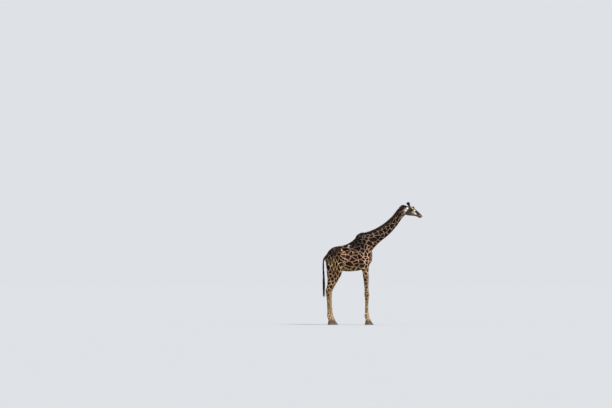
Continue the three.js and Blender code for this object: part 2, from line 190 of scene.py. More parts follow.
def move_to(mesh: Mesh, places: Array) -> None:
    """Writes a mesh's vertex places from an array of shape (n, 3)."""
    mesh.vertices.foreach_set("co", places.astype(np.float32).ravel())
    mesh.update()


def carry(mesh: Mesh, name: str, values: Array) -> None:
    """Writes values at a mesh's vertices.

    Args:
        mesh: The mesh.
        name: The values' name.
        values: One row for each vertex, of four parts for a colour and three for a vector.
    """
    kind, key = ("FLOAT_COLOR", "color") if values.shape[1] == 4 else ("FLOAT_VECTOR", "vector")
    made = mesh.attributes.new(name, kind, "POINT")
    made.data.foreach_set(key, values.astype(np.float32).ravel())


def rise(low: float, high: float, value: Array) -> Array:
    """Goes smoothly from 0 at low to 1 at high, which may also be the smaller of the two."""
    share = np.clip((value - low) / (high - low), 0.0, 1.0)
    return share * share * (3.0 - 2.0 * share)


def bell(value: Array, middle: float, reach: float) -> Array:
    """Gives how far a value is from a middle, as the power that a bell curve takes."""
    return ((value - middle) / reach) ** 2


def lengths(vectors: Array) -> Array:
    """Measures each row."""
    return np.linalg.norm(vectors, axis=-1)


def unit(vectors: Array) -> Array:
    """Scales each row to length 1."""
    return vectors / np.maximum(np.linalg.norm(vectors, axis=-1, keepdims=True), 1e-12)


def turned(x: Array, z: Array, pitch: float) -> tuple[Array, Array]:
    """Turns side-view places by some degrees, so that what points down by the pitch becomes level."""
    turn = math.radians(pitch)
    return x * math.cos(turn) + z * math.sin(turn), z * math.cos(turn) - x * math.sin(turn)


def mirrored(places: Array) -> Array:
    """Folds places on to the left side, as Y above 0."""
    return np.column_stack([places[:, 0], np.abs(places[:, 1]), places[:, 2]])


def side_on(places: Array) -> Array:
    """Flattens places to the side view, as Y of 0."""
    return places * np.array([1.0, 0.0, 1.0])


def laid_over(under: Array, over: Sequence[float], share: Array) -> Array:
    """Mixes one set of values over another by a share at each place."""
    return under + (np.asarray(over) - under) * share[:, None]


def distance_to_path(places: Array, path: Sequence[Point]) -> Array:
    """Measures how far each place is from a line through some points.

    Args:
        places: Places, of shape (n, 3).
        path: The line's points, at least two.

    Returns:
        The distances, of shape (n,).
    """
    nearest = np.full(len(places), np.inf)
    for start, end in zip(np.array(path[:-1], float), np.array(path[1:], float)):
        along = end - start
        share = np.clip((places - start) @ along / (along @ along), 0.0, 1.0)
        nearest = np.minimum(nearest, lengths(places - start - share[:, None] * along))
    return nearest


def solid_copy(node: str) -> Object:
    """Copies a solid and joins the copy's loose triangles.

    Args:
        node: The solid's name.

    Returns:
        The copy, active.
    """
    twin = frame["nodes"][node].copy()
    twin.data = twin.data.copy()
    twin.parent = None
    bpy.context.scene.collection.objects.link(twin)
    with editing(twin):
        bpy.ops.mesh.remove_doubles(threshold=MERGE)
    return twin


def unit_ball(segments: int, rings: int) -> Object:
    """Adds a ball of radius 1 at the origin.

    Args:
        segments: How many faces it has round its axis.
        rings: How many it has from pole to pole.

    Returns:
        The ball, active.
    """
    bpy.ops.object.select_all(action="DESELECT")
    bpy.ops.mesh.primitive_uv_sphere_add(segments=segments, ring_count=rings, radius=1.0, location=ORIGIN)
    return bpy.context.view_layer.objects.active


def joined(parts: Sequence[Object], name: str) -> Object:
    """Joins objects into the first, which gets the name and loses its materials.

    Args:
        parts: The objects.
        name: The joined object's name.

    Returns:
        The joined object, active.
    """
    bpy.ops.object.select_all(action="DESELECT")
    for part in parts:
        part.select_set(True)
    bpy.context.view_layer.objects.active = parts[0]
    bpy.ops.object.join()
    whole = bpy.context.view_layer.objects.active
    whole.name = whole.data.name = name
    whole.data.materials.clear()
    return whole


def weigh(ob: Object, name: str, weights: Array, levels: int = 16) -> None:
    """Writes a vertex group, its weights rounded to a few levels.

    Args:
        ob: The object that gets the group.
        name: The group's name.
        weights: One weight for each vertex, 0 to 1.
        levels: How many steps the weights are rounded to.
    """
    group = ob.vertex_groups.new(name=name)
    steps = np.rint(weights * levels).astype(int)
    for step in range(1, levels + 1):
        chosen = np.nonzero(steps == step)[0]
        if len(chosen):
            group.add(chosen.tolist(), step / levels, "REPLACE")


def settle(ob: Object, finish: Material) -> Object:
    """Dresses a piece, lets it ride on the one body and reports it.

    Args:
        ob: The piece.
        finish: Its material.

    Returns:
        The same piece.
    """
    ob.data.materials.clear()
    ob.data.materials.append(finish)
    ob.data.shade_smooth()
    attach(ob, "root")
    LOG.info("%s: %d faces", ob.name, len(ob.data.polygons))
    return ob


# ---------------------------------------------------------------- where things are
@dataclass(frozen=True)
class Anatomy:
    """Where the animal's parts lie. Body places are in metres from a point under the withers' rear.

    The head has a frame of its own: its origin at the poll, X along the nose, Y to the left, Z up.
    """

    nose_x: float = 2.4950
    head_pitch: float = 25.5
    eye_in_head: Point = (0.288, 0.086, 0.058)
    front_stride: float = 0.046
    hind_stride: float = 0.110
    stride_top: float = 2.1
    fore_leg_x: float = 0.595
    hind_leg_x: float = -0.69
    leg_y: float = 0.18

    def shift(self) -> Array:
        """Gives what turns a body place into a place of the frame."""
        return np.array([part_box("head")[1][0] - self.nose_x, 0.0, 0.0])

    def body(self, places: Array) -> Array:
        """Gives places of the frame as body places."""
        return places - self.shift()

    def standing(self, places: Array) -> Array:
        """Gives places of the frame as body places, with the left feet brought back beside the right ones.

        Args:
            places: Places of the frame.

        Returns:
            The body places.
        """
        x, y, z = self.body(places).T
        stride = np.where(x > 0, self.front_stride, self.hind_stride)
        back = (y > 0) * stride * np.clip(1.0 - z / self.stride_top, 0.0, 1.0)
        return np.column_stack([x - back, y, z])

    def leg_middle(self, x: Array, z: Array) -> Array:
        """Gives the X of the middle of the leg that each body place is nearest to."""
        return np.where(x > 0, self.fore_leg_x, self.hind_leg_x + 0.20 * rise(1.2, 1.9, z))

    def eye(self, side: Side) -> Array:
        """Gives an eyeball's centre in the frame."""
        low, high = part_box(f"eye_{side.word}")
        return (np.array(low) + np.array(high)) / 2

    def head_axes(self) -> Array:
        """Gives the head's own axes.

        Returns:
            The axes, one in each column.
        """
        left = unit(self.eye(Side.LEFT) - self.eye(Side.RIGHT))
        level = np.array([left[1], -left[0], 0.0])
        pitch = math.radians(self.head_pitch)
        ahead = level * math.cos(pitch) - np.array([0.0, 0.0, math.sin(pitch)])
        return np.column_stack([ahead, left, np.cross(ahead, left)])

    def poll(self) -> Array:
        """Gives the origin of the head's frame."""
        between = (self.eye(Side.LEFT) + self.eye(Side.RIGHT)) / 2
        return between - self.head_axes() @ np.array([self.eye_in_head[0], 0.0, self.eye_in_head[2]])

    def head(self, places: Array) -> Array:
        """Gives places of the frame in the head's frame."""
        return (places - self.poll()) @ self.head_axes()

    def from_head(self, places: Array) -> Array:
        """Gives places of the head's frame in the whole frame."""
        return np.asarray(places, float) @ self.head_axes().T + self.poll()


ANATOMY = Anatomy()
WORDS = [side.word for side in Side]
BODY_FLESH = ["trunk", "neck", "tail"] + [f"{end}_leg_{word}" for end in ("front", "hind") for word in WORDS]
HEAD_FLESH = ["head", "lower_jaw"] + [f"{part}_{word}" for part in ("ear", "ossicone") for word in WORDS]
FLESH = BODY_FLESH + HEAD_FLESH


def aloft(z: Array) -> Array:
    """Gives 0 up to the middle of the neck and 1 at the height of the head."""
    return rise(3.0, 3.2, z)


def horn_share(head: Array) -> Array:
    """Gives 1 on the horns and 0 elsewhere, for places in the head's frame."""
    return rise(0.122, 0.140, head[:, 2]) * rise(0.215, 0.190, head[:, 0]) * rise(-0.10, -0.04, head[:, 0])


def ear_share(head: Array) -> Array:
    """Gives 1 on the ears and 0 elsewhere, for places in the head's frame."""
    x, y, z = head[:, 0], np.abs(head[:, 1]), head[:, 2]
    return rise(0.085, 0.045, x) * rise(0.096, 0.112, y) * rise(-0.02, 0.0, z) * rise(0.185, 0.165, z)


# ---------------------------------------------------------------- the skin's shape
@dataclass(frozen=True)
class Swell:
    """A soft rise, or a hollow where height is below 0, round a centre."""

    centre: Point
    radii: Point
    height: float

    def lift(self, places: Array) -> Array:
        """Gives how far each place rises along its normal."""
        away = (places - np.array(self.centre)) / np.array(self.radii)
        return self.height * np.exp(-np.sum(away * away, axis=1))


@dataclass(frozen=True)
class Ridge:
    """A soft ridge, or a groove where height is below 0, along a path."""

    path: tuple[Point, ...]
    width: float
    height: float

    def lift(self, places: Array) -> Array:
        """Gives how far each place rises along its normal."""
        away = distance_to_path(places, self.path) / self.width
        return self.height * np.exp(-away * away)


BODY_FORMS = (
    Ridge(((0.40, 0.20, 2.88), (0.50, 0.24, 2.60), (0.57, 0.27, 2.36)), 0.035, 0.010),  # shoulder blade
    Ridge(((0.30, 0.24, 2.78), (0.33, 0.29, 2.45), (0.36, 0.29, 2.15)), 0.050, -0.010),  # behind it
    Ridge(((0.62, 0.15, 2.90), (0.70, 0.17, 2.62), (0.72, 0.17, 2.45)), 0.035, -0.009),  # in front of it
    Swell((0.45, 0.27, 2.17), (0.09, 0.08, 0.14), 0.012),  # upper arm
    Swell((0.66, 0.20, 2.30), (0.06, 0.08, 0.08), 0.016),  # point of the shoulder
    Swell((0.40, 0.27, 1.93), (0.04, 0.06, 0.05), 0.014),  # elbow
    Ridge(((0.34, 0.22, 1.85), (0.37, 0.28, 2.00), (0.35, 0.29, 2.12)), 0.020, -0.012),  # armpit's fold
    Ridge(((0.60, 0.27, 2.05), (0.64, 0.24, 1.90), (0.64, 0.22, 1.76)), 0.020, -0.006),  # forearm's front
    Swell((-0.30, 0.24, 2.50), (0.06, 0.06, 0.05), 0.016),  # hip bone
    Swell((-0.15, 0.28, 2.42), (0.10, 0.09, 0.13), -0.018),  # hollow of the flank
    Ridge(((-0.08, 0.24, 1.84), (-0.15, 0.27, 1.98), (-0.17, 0.29, 2.15)), 0.050, 0.008),  # flank's fold
    Ridge(((-0.60, 0.17, 2.46), (-0.66, 0.21, 2.15), (-0.66, 0.24, 1.85)), 0.022, -0.008),  # thigh's groove
    Swell((-0.22, 0.27, 1.80), (0.06, 0.07, 0.08), 0.011),  # stifle
    Swell((-0.72, 0.10, 2.12), (0.05, 0.05, 0.10), 0.010),  # seat bone
    Swell((0.66, 0.18, 1.01), (0.03, 0.06, 0.06), 0.007),  # front of the knee
    Swell((0.53, 0.19, 1.04), (0.03, 0.04, 0.04), 0.010),  # rear of the knee
    Swell((0.54, 0.18, 0.31), (0.03, 0.05, 0.03), 0.006),  # rear of the fetlocks
    Swell((-0.72, 0.18, 0.31), (0.03, 0.05, 0.03), 0.006),
    Swell((-0.77, 0.18, 1.16), (0.03, 0.04, 0.04), 0.007),  # point of the hock
    Ridge(  # vein groove along the neck's underside
        ((1.80, 0.08, 3.71), (1.55, 0.09, 3.42), (1.30, 0.10, 3.12), (1.02, 0.13, 2.86), (0.80, 0.15, 2.60)),
        0.028, -0.011),
    Ridge(((1.74, 0.08, 3.85), (1.45, 0.09, 3.49), (1.10, 0.12, 3.21), (0.72, 0.15, 2.96)), 0.036, 0.006),
    Ridge(((1.70, 0.08, 3.66), (1.42, 0.10, 3.34), (1.10, 0.13, 3.04), (0.78, 0.16, 2.80)), 0.030, -0.005),
)
CANNON_GROOVES = (  # between the bone and the tendons, seen from the side
    ((0.575, 0.90), (0.572, 0.40)),
    ((-0.702, 0.88), (-0.690, 0.40)),
    ((-0.625, 1.42), (-0.712, 1.20)),
)
HEAD_FORMS = (
    Ridge(((0.225, 0.105, 0.098), (0.285, 0.110, 0.106), (0.345, 0.092, 0.090)), 0.014, 0.007),  # brow
    Ridge(((0.34, 0.086, 0.018), (0.25, 0.100, 0.012), (0.16, 0.098, 0.020)), 0.014, 0.006),  # cheek bone
    Swell((0.175, 0.10, 0.062), (0.035, 0.03, 0.024), -0.007),  # temple
    Swell((0.17, 0.085, -0.085), (0.060, 0.04, 0.050), 0.006),  # chewing muscle
    Ridge(((0.262, 0.07, -0.12), (0.270, 0.08, -0.05), (0.285, 0.08, -0.01)), 0.014, -0.006),  # its edge
    Ridge(((0.33, 0.094, 0.050), (0.37, 0.074, 0.030), (0.42, 0.064, 0.014)), 0.008, -0.0035),  # tear groove
    Ridge(((0.40, 0.055, 0.050), (0.47, 0.052, 0.040), (0.54, 0.050, 0.034)), 0.016, -0.004),  # nose's side
    Swell((0.668, 0.0, -0.012), (0.03, 0.04, 0.016), 0.004),  # upper lip
    Swell((0.600, 0.0, -0.085), (0.04, 0.04, 0.02), 0.003),  # chin
    Ridge(((0.05, 0.06, -0.165), (0.09, 0.00, -0.190)), 0.008, -0.004),  # throat
    Ridge(((0.10, 0.05, -0.188), (0.13, 0.00, -0.205)), 0.008, -0.003),
)
MOUTH = (
    (0.688, 0.000, -0.020), (0.680, 0.022, -0.024), (0.655, 0.040, -0.029), (0.610, 0.052, -0.031),
    (0.555, 0.053, -0.028), (0.500, 0.052, -0.022), (0.470, 0.053, -0.014),
)
NOSTRIL = ((0.590, 0.0, 0.010), (0.612, 0.0, 0.021), (0.636, 0.0, 0.026), (0.650, 0.0, 0.020))


def from_nostril(head: Array) -> Array:
    """Measures how far each place of the head's frame is from a nostril's line, seen from the side."""
    beside = 0.5 * np.clip(0.026 - np.abs(head[:, 1]), 0.0, None)
    return distance_to_path(side_on(head), NOSTRIL) + beside


@dataclass
class EyeOpening:
    """The lids' almond-shaped opening, in a frame on the eyeball: u forwards, v up, w outwards."""

    ball: float = 0.026
    half_length: float = 0.0235
    upper: float = 0.0150
    lower: float = 0.0105
    tilt: float = -8.0
    lid: float = 0.0032
    depth: float = 0.011

    def frame_at(self, side: Side) -> Array:
        """Gives the opening's own axes.

        Args:
            side: The side of the head.

        Returns:
            The u, v and w axes in the whole frame, one in each column.
        """
        out = unit(np.array([0.20, 0.955 * side.value, 0.16]))
        ahead = unit(np.array([1.0, 0.0, 0.0]) - out * out[0])
        up = np.cross(ahead, out) if side is Side.RIGHT else np.cross(out, ahead)
        u, v = turned(ahead, up, self.tilt)
        return ANATOMY.head_axes() @ np.column_stack([u, v, out])

    def local(self, places: Array, side: Side) -> Array:
        """Gives places of the whole frame in the opening's frame."""
        return (places - ANATOMY.eye(side)) @ self.frame_at(side)

    def outside(self, local: Array) -> Array:
        """Measures about how far each place is outside the opening.

        Args:
            local: Places in the opening's frame.

        Returns:
            The distances in metres, below 0 inside the opening.
        """
        u, v = local[:, 0], local[:, 1]
        height = np.where(v > 0, self.upper, self.lower)
        reach = (np.abs(u) / self.half_length) ** 1.7 + (np.abs(v) / height) ** 2
        return (np.sqrt(reach) - 1.0) * 0.5 * (self.upper + self.lower)


@dataclass(frozen=True)
class Muscle:
    """A ball of flesh on both sides of the head, in its frame, that fills a hollow between two solids."""

    centre: Point
    radii: Point
    pitch: float

    def build(self, side: Side) -> Object:
        """Makes the ball.

        Args:
            side: The side of the head it lies on.

        Returns:
            The ball, its place in its mesh.
        """
        ball = unit_ball(32, 16)
        x, y, z = (positions(ball.data) * np.array(self.radii)).T
        ahead, up = turned(x, z, self.pitch)
        centre = np.array(self.centre) * np.array([1.0, side.value, 1.0])
        move_to(ball.data, ANATOMY.from_head(np.column_stack([ahead, y, up]) + centre))
        return ball


SMOOTHING = (("much", 120), ("some", 34), ("nape", 120), ("cheek", 90), ("brow", 60), ("face", 26))
CHEEKS = (
    Muscle((0.150, 0.050, -0.088), (0.095, 0.031, 0.078), -14.0),  # chewing muscle
    Muscle((0.290, 0.038, -0.076), (0.130, 0.027, 0.044), -16.0),  # cheek, before the chewing muscle
    Muscle((0.405, 0.030, -0.052), (0.120, 0.023, 0.030), -12.0),  # cheek, up to the mouth's corner
    Muscle((0.030, 0.036, -0.070), (0.070, 0.040, 0.085), -30.0),  # behind the jaw
)


@dataclass
class Skin:
    """One skin over all the flesh, made from copies of its solids: coarse on the body, fine on the head."""

    voxel: float = 0.006
    fine_voxel: float = 0.0026
    seam_at: Point = (1.74, 0.0, 3.75)
    seam_faces: Point = (0.64, 0.0, 0.77)
    seam_gap: float = 0.003
    closing: float = 0.0008
    rim: float = 0.0022
    coat_depth: float = 0.003
    face_depth: float = 0.0012
    head_budget: int = 84_000
    body_budget: int = 106_000
    ribs: int = 8
    rib_step: float = 0.062
    eyes: EyeOpening = field(default_factory=EyeOpening)
    ob: Optional[Object] = None

    def build(self) -> Object:
        """Makes the skin's mesh.

        Returns:
            The skin.
        """
        body = self.shell(BODY_FLESH, [], self.voxel, above=False)
        eyes = [f"eye_{word}" for word in WORDS]
        balls = [cheek.build(side) for cheek in CHEEKS for side in Side]
        head = self.shell(HEAD_FLESH + ["neck"] + eyes, balls, self.fine_voxel, above=True)
        self.ob = self.bridged(body, head)
        self.round_off()
        self.refine_face()
        self.sculpt()
        self.open_eyes()
        self.lighten()
        return self.ob

    def shell(self, names: Sequence[str], extra: list[Object], voxel: float, above: bool) -> Object:
        """Wraps copies of some nodes in one surface, and cuts it at the seam between body and head.

        Args:
            names: The nodes. Each copy is made a hair's breadth fatter, so that no cut stays open.
            extra: Other solids that join them.
            voxel: How fine the surface is.
            above: Whether the part above the seam is kept, or the part below it.

        Returns:
            The surface, open at the seam.
        """
        copies = list(extra)
        for name in names:
            twin = solid_copy(name)
            copies.append(twin)
            grown = {"eye": self.eyes.lid, "ear": self.rim}.get(name.split("_")[0], self.closing)
            apply_modifier(twin, "DISPLACE", strength=grown, mid_level=0.0)
        whole = joined(copies, "shell")
        apply_modifier(whole, "REMESH", mode="VOXEL", voxel_size=voxel)
        across = unit(np.array(self.seam_faces))
        gap = self.seam_gap if above else -self.seam_gap
        at = np.array(self.seam_at) + ANATOMY.shift() + across * gap
        cut = {"plane_co": tuple(at), "plane_no": tuple(across)}
        with editing(whole):
            bpy.ops.mesh.bisect(clear_inner=above, clear_outer=not above, **cut)
        return whole

    def bridged(self, body: Object, head: Object) -> Object:
        """Joins the two surfaces at the seam.

        Args:
            body: The part below the seam.
            head: The part above it.

        Returns:
            One closed surface.
        """
        skin = joined([body, head], "skin")
        others = ("extend", "use_wire", "use_multi_face", "use_non_contiguous", "use_verts")
        with editing(skin):
            bpy.ops.mesh.select_mode(type="EDGE")
            bpy.ops.mesh.select_all(action="DESELECT")
            bpy.ops.mesh.select_non_manifold(use_boundary=True, **dict.fromkeys(others, False))
            bpy.ops.mesh.bridge_edge_loops()
            bpy.ops.mesh.select_all(action="SELECT")
            bpy.ops.mesh.normals_make_consistent(inside=False)
        return skin

    def above_seam(self, places: Array) -> Array:
        """Measures how far each place of the frame is above the seam."""
        return (ANATOMY.body(places) - np.array(self.seam_at)) @ unit(np.array(self.seam_faces))

    def round_off(self) -> None:
        """Rounds the solids' facets: strongly on the trunk, less on the legs, least on the head."""
        places = positions(self.ob.data)
        head = ANATOMY.head(places)
        x, y, z = ANATOMY.body(places).T
        fine = rise(-0.01, 0.03, self.above_seam(places))
        limb = rise(1.95, 1.60, z)
        tail = rise(-0.76, -0.80, x) * rise(0.09, 0.06, np.abs(y)) * rise(2.32, 2.20, z)
        neck = rise(2.9, 3.3, z)
        ear, horn = ear_share(head), horn_share(head)
        face = rise(-0.06, 0.04, head[:, 0])
        brow = rise(0.085, 0.105, head[:, 2]) * rise(0.16, 0.20, head[:, 0]) * rise(0.42, 0.38, head[:, 0])
        cheek = rise(0.04, 0.10, head[:, 0]) * rise(0.50, 0.40, head[:, 0]) * rise(0.00, -0.04, head[:, 2])
        much = (1.0 - fine) * (1.0 - limb) * (1.0 - tail) * (1.0 - 0.45 * neck)
        weights = {
            "much": much,
            "some": np.maximum(np.maximum(much, (1.0 - fine) * limb), 0.35 * tail) * (1.0 - fine),
            "nape": fine * (1.0 - face) * (1.0 - np.clip(ear + horn, 0.0, 1.0)),
            "cheek": fine * cheek,
            "brow": fine * brow * (1.0 - horn),
            "face": fine * (1.0 - 0.75 * ear),
        }
        for group, rounds in SMOOTHING:
            weigh(self.ob, group, weights[group])
            apply_modifier(self.ob, "SMOOTH", factor=0.5, iterations=rounds, vertex_group=group)
        self.ob.vertex_groups.clear()

    def refine_face(self) -> None:
        """Halves the faces round the eyes, the nostrils and the mouth."""
        mesh = self.ob.data
        before = len(mesh.vertices)
        centres = centres_of(mesh)
        chosen = np.zeros(len(centres), dtype=bool)
        for side in Side:
            chosen |= lengths(centres - ANATOMY.eye(side)) < 0.044
        head = mirrored(ANATOMY.head(centres))
        chosen |= distance_to_path(head, MOUTH) < 0.010
        chosen |= from_nostril(head) < 0.018
        with editing(self.ob, chosen):
            bpy.ops.mesh.subdivide(number_cuts=1)
        LOG.info("skin refined from %d to %d vertices", before, len(mesh.vertices))

    def sculpt(self) -> None:
        """Raises the muscles, bones and folds, and takes the skin in by the coat's depth."""
        mesh = self.ob.data
        places, out = positions(mesh), normals(mesh)
        body = mirrored(ANATOMY.standing(places))
        head = ANATOMY.head(places)
        half_head = mirrored(head)
        z = places[:, 2]
        lift = np.zeros(len(places))
        for form in BODY_FORMS:
            lift += form.lift(body)
        for rib in range(self.ribs):
            at = 0.24 - self.rib_step * rib
            path = ((at + 0.03, 0.27, 2.50), (at, 0.32, 2.25), (at - 0.03, 0.28, 1.95))
            lift += Ridge(path, 0.022, 0.0022).lift(body)
        beside, low = rise(0.15, 0.6, np.abs(out[:, 1])), rise(1.55, 1.40, z)
        for (x0, z0), (x1, z1) in CANNON_GROOVES:
            groove = Ridge(((x0, 0.0, z0), (x1, 0.0, z1)), 0.015, -0.0055)
            lift += groove.lift(side_on(body)) * beside * low
        on_head = rise(-0.12, -0.04, head[:, 0]) * rise(2.9, 3.1, z)
        for form in HEAD_FORMS:
            lift += form.lift(half_head) * on_head
        lift += self.cleft(distance_to_path(half_head, MOUTH), 0.0036, -0.0060)
        nostril = from_nostril(half_head)
        lift += self.cleft(nostril, 0.0048, -0.0170) + 0.0034 * np.exp(-((nostril / 0.0130) ** 2))
        lift += self.wrinkles(places, body, head)
        lost = 0.0028 * rise(1.95, 1.60, z) + 0.0022 * rise(2.9, 3.3, z) * (1.0 - on_head)
        depth = self.coat_depth + (self.face_depth - self.coat_depth) * on_head
        thin = np.clip(horn_share(head) + ear_share(head), 0.0, 1.0)
        move_to(mesh, places + out * (lift + lost - depth * (1.0 - 0.8 * thin))[:, None])

    @staticmethod
    def cleft(away: Array, width: float, depth: float) -> Array:
        """Gives a groove with steep walls, as the mouth's line and the nostrils have."""
        return depth / (1.0 + (away / width) ** 4)

    @staticmethod
    def wrinkles(places: Array, body: Array, head: Array) -> Array:
        """Gives the skin's fine unevenness, and its folds at the throat and the armpits.

        Args:
            places: Places of the frame.
            body: The same as body places, folded on to the left side.
            head: The same in the head's frame.

        Returns:
            How far each place rises.
        """
        z = body[:, 2]
        slow = np.sin(places @ np.array([9.0, 5.0, 7.0])) * np.sin(places @ np.array([-6.0, 8.0, 9.5]) + 1.3)
        soft = 0.0016 * slow * rise(1.2, 1.7, z)
        throat = rise(0.14, 0.02, np.abs(head[:, 0] + 0.03)) * rise(-0.02, -0.12, head[:, 2])
        folds = 0.0016 * np.sin(head[:, 0] * 190.0 + 6.0 * head[:, 1]) * throat
        armpit = rise(0.10, 0.02, lengths(body - np.array([0.36, 0.24, 1.93])))
        creases = 0.0022 * np.sin(z * 150.0 + 60.0 * body[:, 0]) * armpit
        return soft + folds + creases

    def open_eyes(self) -> None:
        """Presses the skin in behind the eyeball inside each opening, and rounds the lids over the ball."""
        mesh = self.ob.data
        places = positions(mesh)
        eye = self.eyes
        for side in Side:
            local = eye.local(places, side)
            near = (lengths(local[:, :2]) < 0.045) & (local[:, 2] > 0.0)
            outside = eye.outside(local)
            ball = np.sqrt(np.clip((eye.ball + eye.lid) ** 2 - np.sum(local[:, :2] ** 2, axis=1), 1e-6, None))
            lid = rise(0.010, 0.001, outside) * near
            local[:, 2] += lid * (np.maximum(ball, local[:, 2]) - local[:, 2])
            lash_fold = 0.0024 * np.exp(-bell(outside, 0.0065, 0.0020)) * near
            local[:, 2] -= lash_fold
            local[:, 2] -= rise(0.0005, -0.0012, outside) * near * eye.depth
            places = np.where(near[:, None], local @ eye.frame_at(side).T + ANATOMY.eye(side), places)
        move_to(mesh, places)

    def lighten(self) -> None:
        """Thins the faces of the body and of the head, each to its budget, and drops loose bits."""
        with editing(self.ob, np.ones(len(self.ob.data.polygons), dtype=bool)):
            bpy.ops.mesh.quads_convert_to_tris()
        for on_head, budget in ((False, self.body_budget), (True, self.head_budget)):
            chosen = (self.above_seam(centres_of(self.ob.data)) > 0.0) == on_head
            with editing(self.ob, chosen):
                bpy.ops.mesh.decimate(ratio=min(1.0, budget / max(1, int(chosen.sum()))))
        self.drop_islands()

    def drop_islands(self) -> None:
        """Deletes whatever isn't joined to the surface that holds the tallest point."""
        mesh = self.ob.data
        tallest = np.zeros(len(mesh.vertices), dtype=bool)
        tallest[np.argmax(positions(mesh)[:, 2])] = True
        with editing(self.ob, np.zeros(len(mesh.polygons), dtype=bool)):
            bpy.ops.mesh.select_mode(type="VERT")
            bpy.ops.object.mode_set(mode="OBJECT")
            mesh.vertices.foreach_set("select", tallest)
            bpy.ops.object.mode_set(mode="EDIT")
            bpy.ops.mesh.select_linked()
            bpy.ops.mesh.select_all(action="INVERT")
            bpy.ops.mesh.delete(type="VERT")


# ---------------------------------------------------------------- the markings
@dataclass(frozen=True)
class Blot:
    """A soft-edged place of one colour, in body or head places folded on to the left side."""

    centre: Point
    radii: Point
    colour: Colour
    strength: float = 1.0
    patches: float = 1.0
    pitch: float = 0.0

    def share(self, places: Array) -> Array:
        """Gives how much of the colour each place takes.

        Args:
            places: Body places, or places in the head's frame.

        Returns:
            The shares, 0 to 1.
        """
        away = places - np.array(self.centre)
        x, z = turned(away[:, 0], away[:, 2], self.pitch)
        reach = lengths(np.column_stack([x, away[:, 1], z]) / np.array(self.radii))
        return self.strength * rise(1.45, 0.40, reach)


LINE_TAN: Colour = (0.470, 0.275, 0.170)
DARK_HAIR: Colour = (0.0048, 0.0034, 0.0030)
BODY_BLOTS = (
    Blot((0.34, 0.00, 2.76), (0.40, 0.50, 0.38), (0.160, 0.130, 0.124), 0.9),  # withers and shoulder's top
    Blot((0.14, 0.00, 2.80), (0.32, 0.50, 0.26), (0.036, 0.028, 0.027), 0.9),  # back
    Blot((-0.50, 0.00, 2.52), (0.34, 0.50, 0.30), (0.068, 0.046, 0.040), 0.9),  # rump
    Blot((-0.66, 0.00, 2.18), (0.13, 0.50, 0.26), (0.150, 0.120, 0.092), 0.8),  # buttock: painted shade, a greyer, darker ground where the buttock lies in shade
    Blot((-0.42, 0.00, 2.06), (0.24, 0.50, 0.23), (0.720, 0.500, 0.250), 0.9),  # thigh
    Blot((0.64, 0.00, 2.24), (0.20, 0.50, 0.28), (0.880, 0.580, 0.440), 0.85),  # chest
    Blot((0.25, 0.00, 1.84), (0.60, 0.50, 0.15), (0.740, 0.520, 0.260), 0.9, 0.95),  # belly
    Blot((-0.42, 0.00, 1.60), (0.18, 0.08, 0.25), (0.500, 0.340, 0.190), 0.95, 0.05),  # between the thighs
    Blot((0.50, 0.00, 1.70), (0.14, 0.08, 0.22), (0.500, 0.340, 0.190), 0.95, 0.05),  # between the forearms
    Blot((-0.451, 0.25, 2.54), (0.048, 0.40, 0.040), (0.620, 0.430, 0.380), 0.85, 0.85),  # pale, on the rump
    Blot((0.036, 0.25, 2.640), (0.095, 0.40, 0.055), (0.880, 0.640, 0.550), 0.90, 0.96),  # pale, on the back
    Blot((0.28, 0.25, 1.943), (0.045, 0.40, 0.028), (0.640, 0.500, 0.240), 0.7, 0.5),  # pale, on the belly
    Blot((0.74, 0.00, 2.20), (0.12, 0.06, 0.26), (0.420, 0.240, 0.140), 0.8),  # the chest's middle
    Blot((1.808, 0.08, 3.679), (0.030, 0.09, 0.048), DARK_HAIR, 0.95, 1.0, 12.0),  # black, below the jaw
    Blot((1.685, 0.08, 3.675), (0.038, 0.09, 0.042), DARK_HAIR, 0.95, 1.0, 30.0),  # black, behind that
    Blot((1.794, 0.08, 3.846), (0.036, 0.09, 0.028), DARK_HAIR, 0.90, 1.0),  # black, below the poll
    Blot((1.648, 0.08, 3.534), (0.028, 0.09, 0.042), DARK_HAIR, 0.90, 1.0, -20.0),  # black, further down
)
STREAKS = (  # seen from the side: path as X and Z, half width, colour, strength, patches
    (((-0.225, 2.53), (-0.165, 2.45), (-0.140, 2.418)), 0.026, (0.700, 0.500, 0.380), 0.85, 0.40),
    (((-0.085, 2.40), (-0.110, 2.25), (-0.134, 2.126)), 0.030, (0.820, 0.590, 0.400), 0.85, 0.75),
    (((-0.140, 2.126), (-0.185, 1.98), (-0.205, 1.78)), 0.030, (0.740, 0.520, 0.300), 0.8, 0.75),
    (((0.44, 3.00), (0.52, 2.998), (0.62, 3.015), (0.80, 3.075)), 0.018, (0.560, 0.350, 0.210), 0.80, 0.96),
    # orange band down the chest's front: partly coat colour, partly painted light on the lit front edge
    (((0.80, 2.50), (0.815, 2.34), (0.80, 2.20), (0.74, 2.08)), 0.040, (0.600, 0.270, 0.110), 0.7, 0.75),
    # tan band down the forearm's front: partly coat colour, partly painted light on the lit front edge
    (((0.665, 1.98), (0.675, 1.80), (0.665, 1.56), (0.655, 1.20)), 0.024, (0.700, 0.410, 0.220), 0.75, 0.60),
)
DARK_FACE: Colour = (0.016, 0.010, 0.008)
CREAM: Colour = (0.860, 0.750, 0.570)
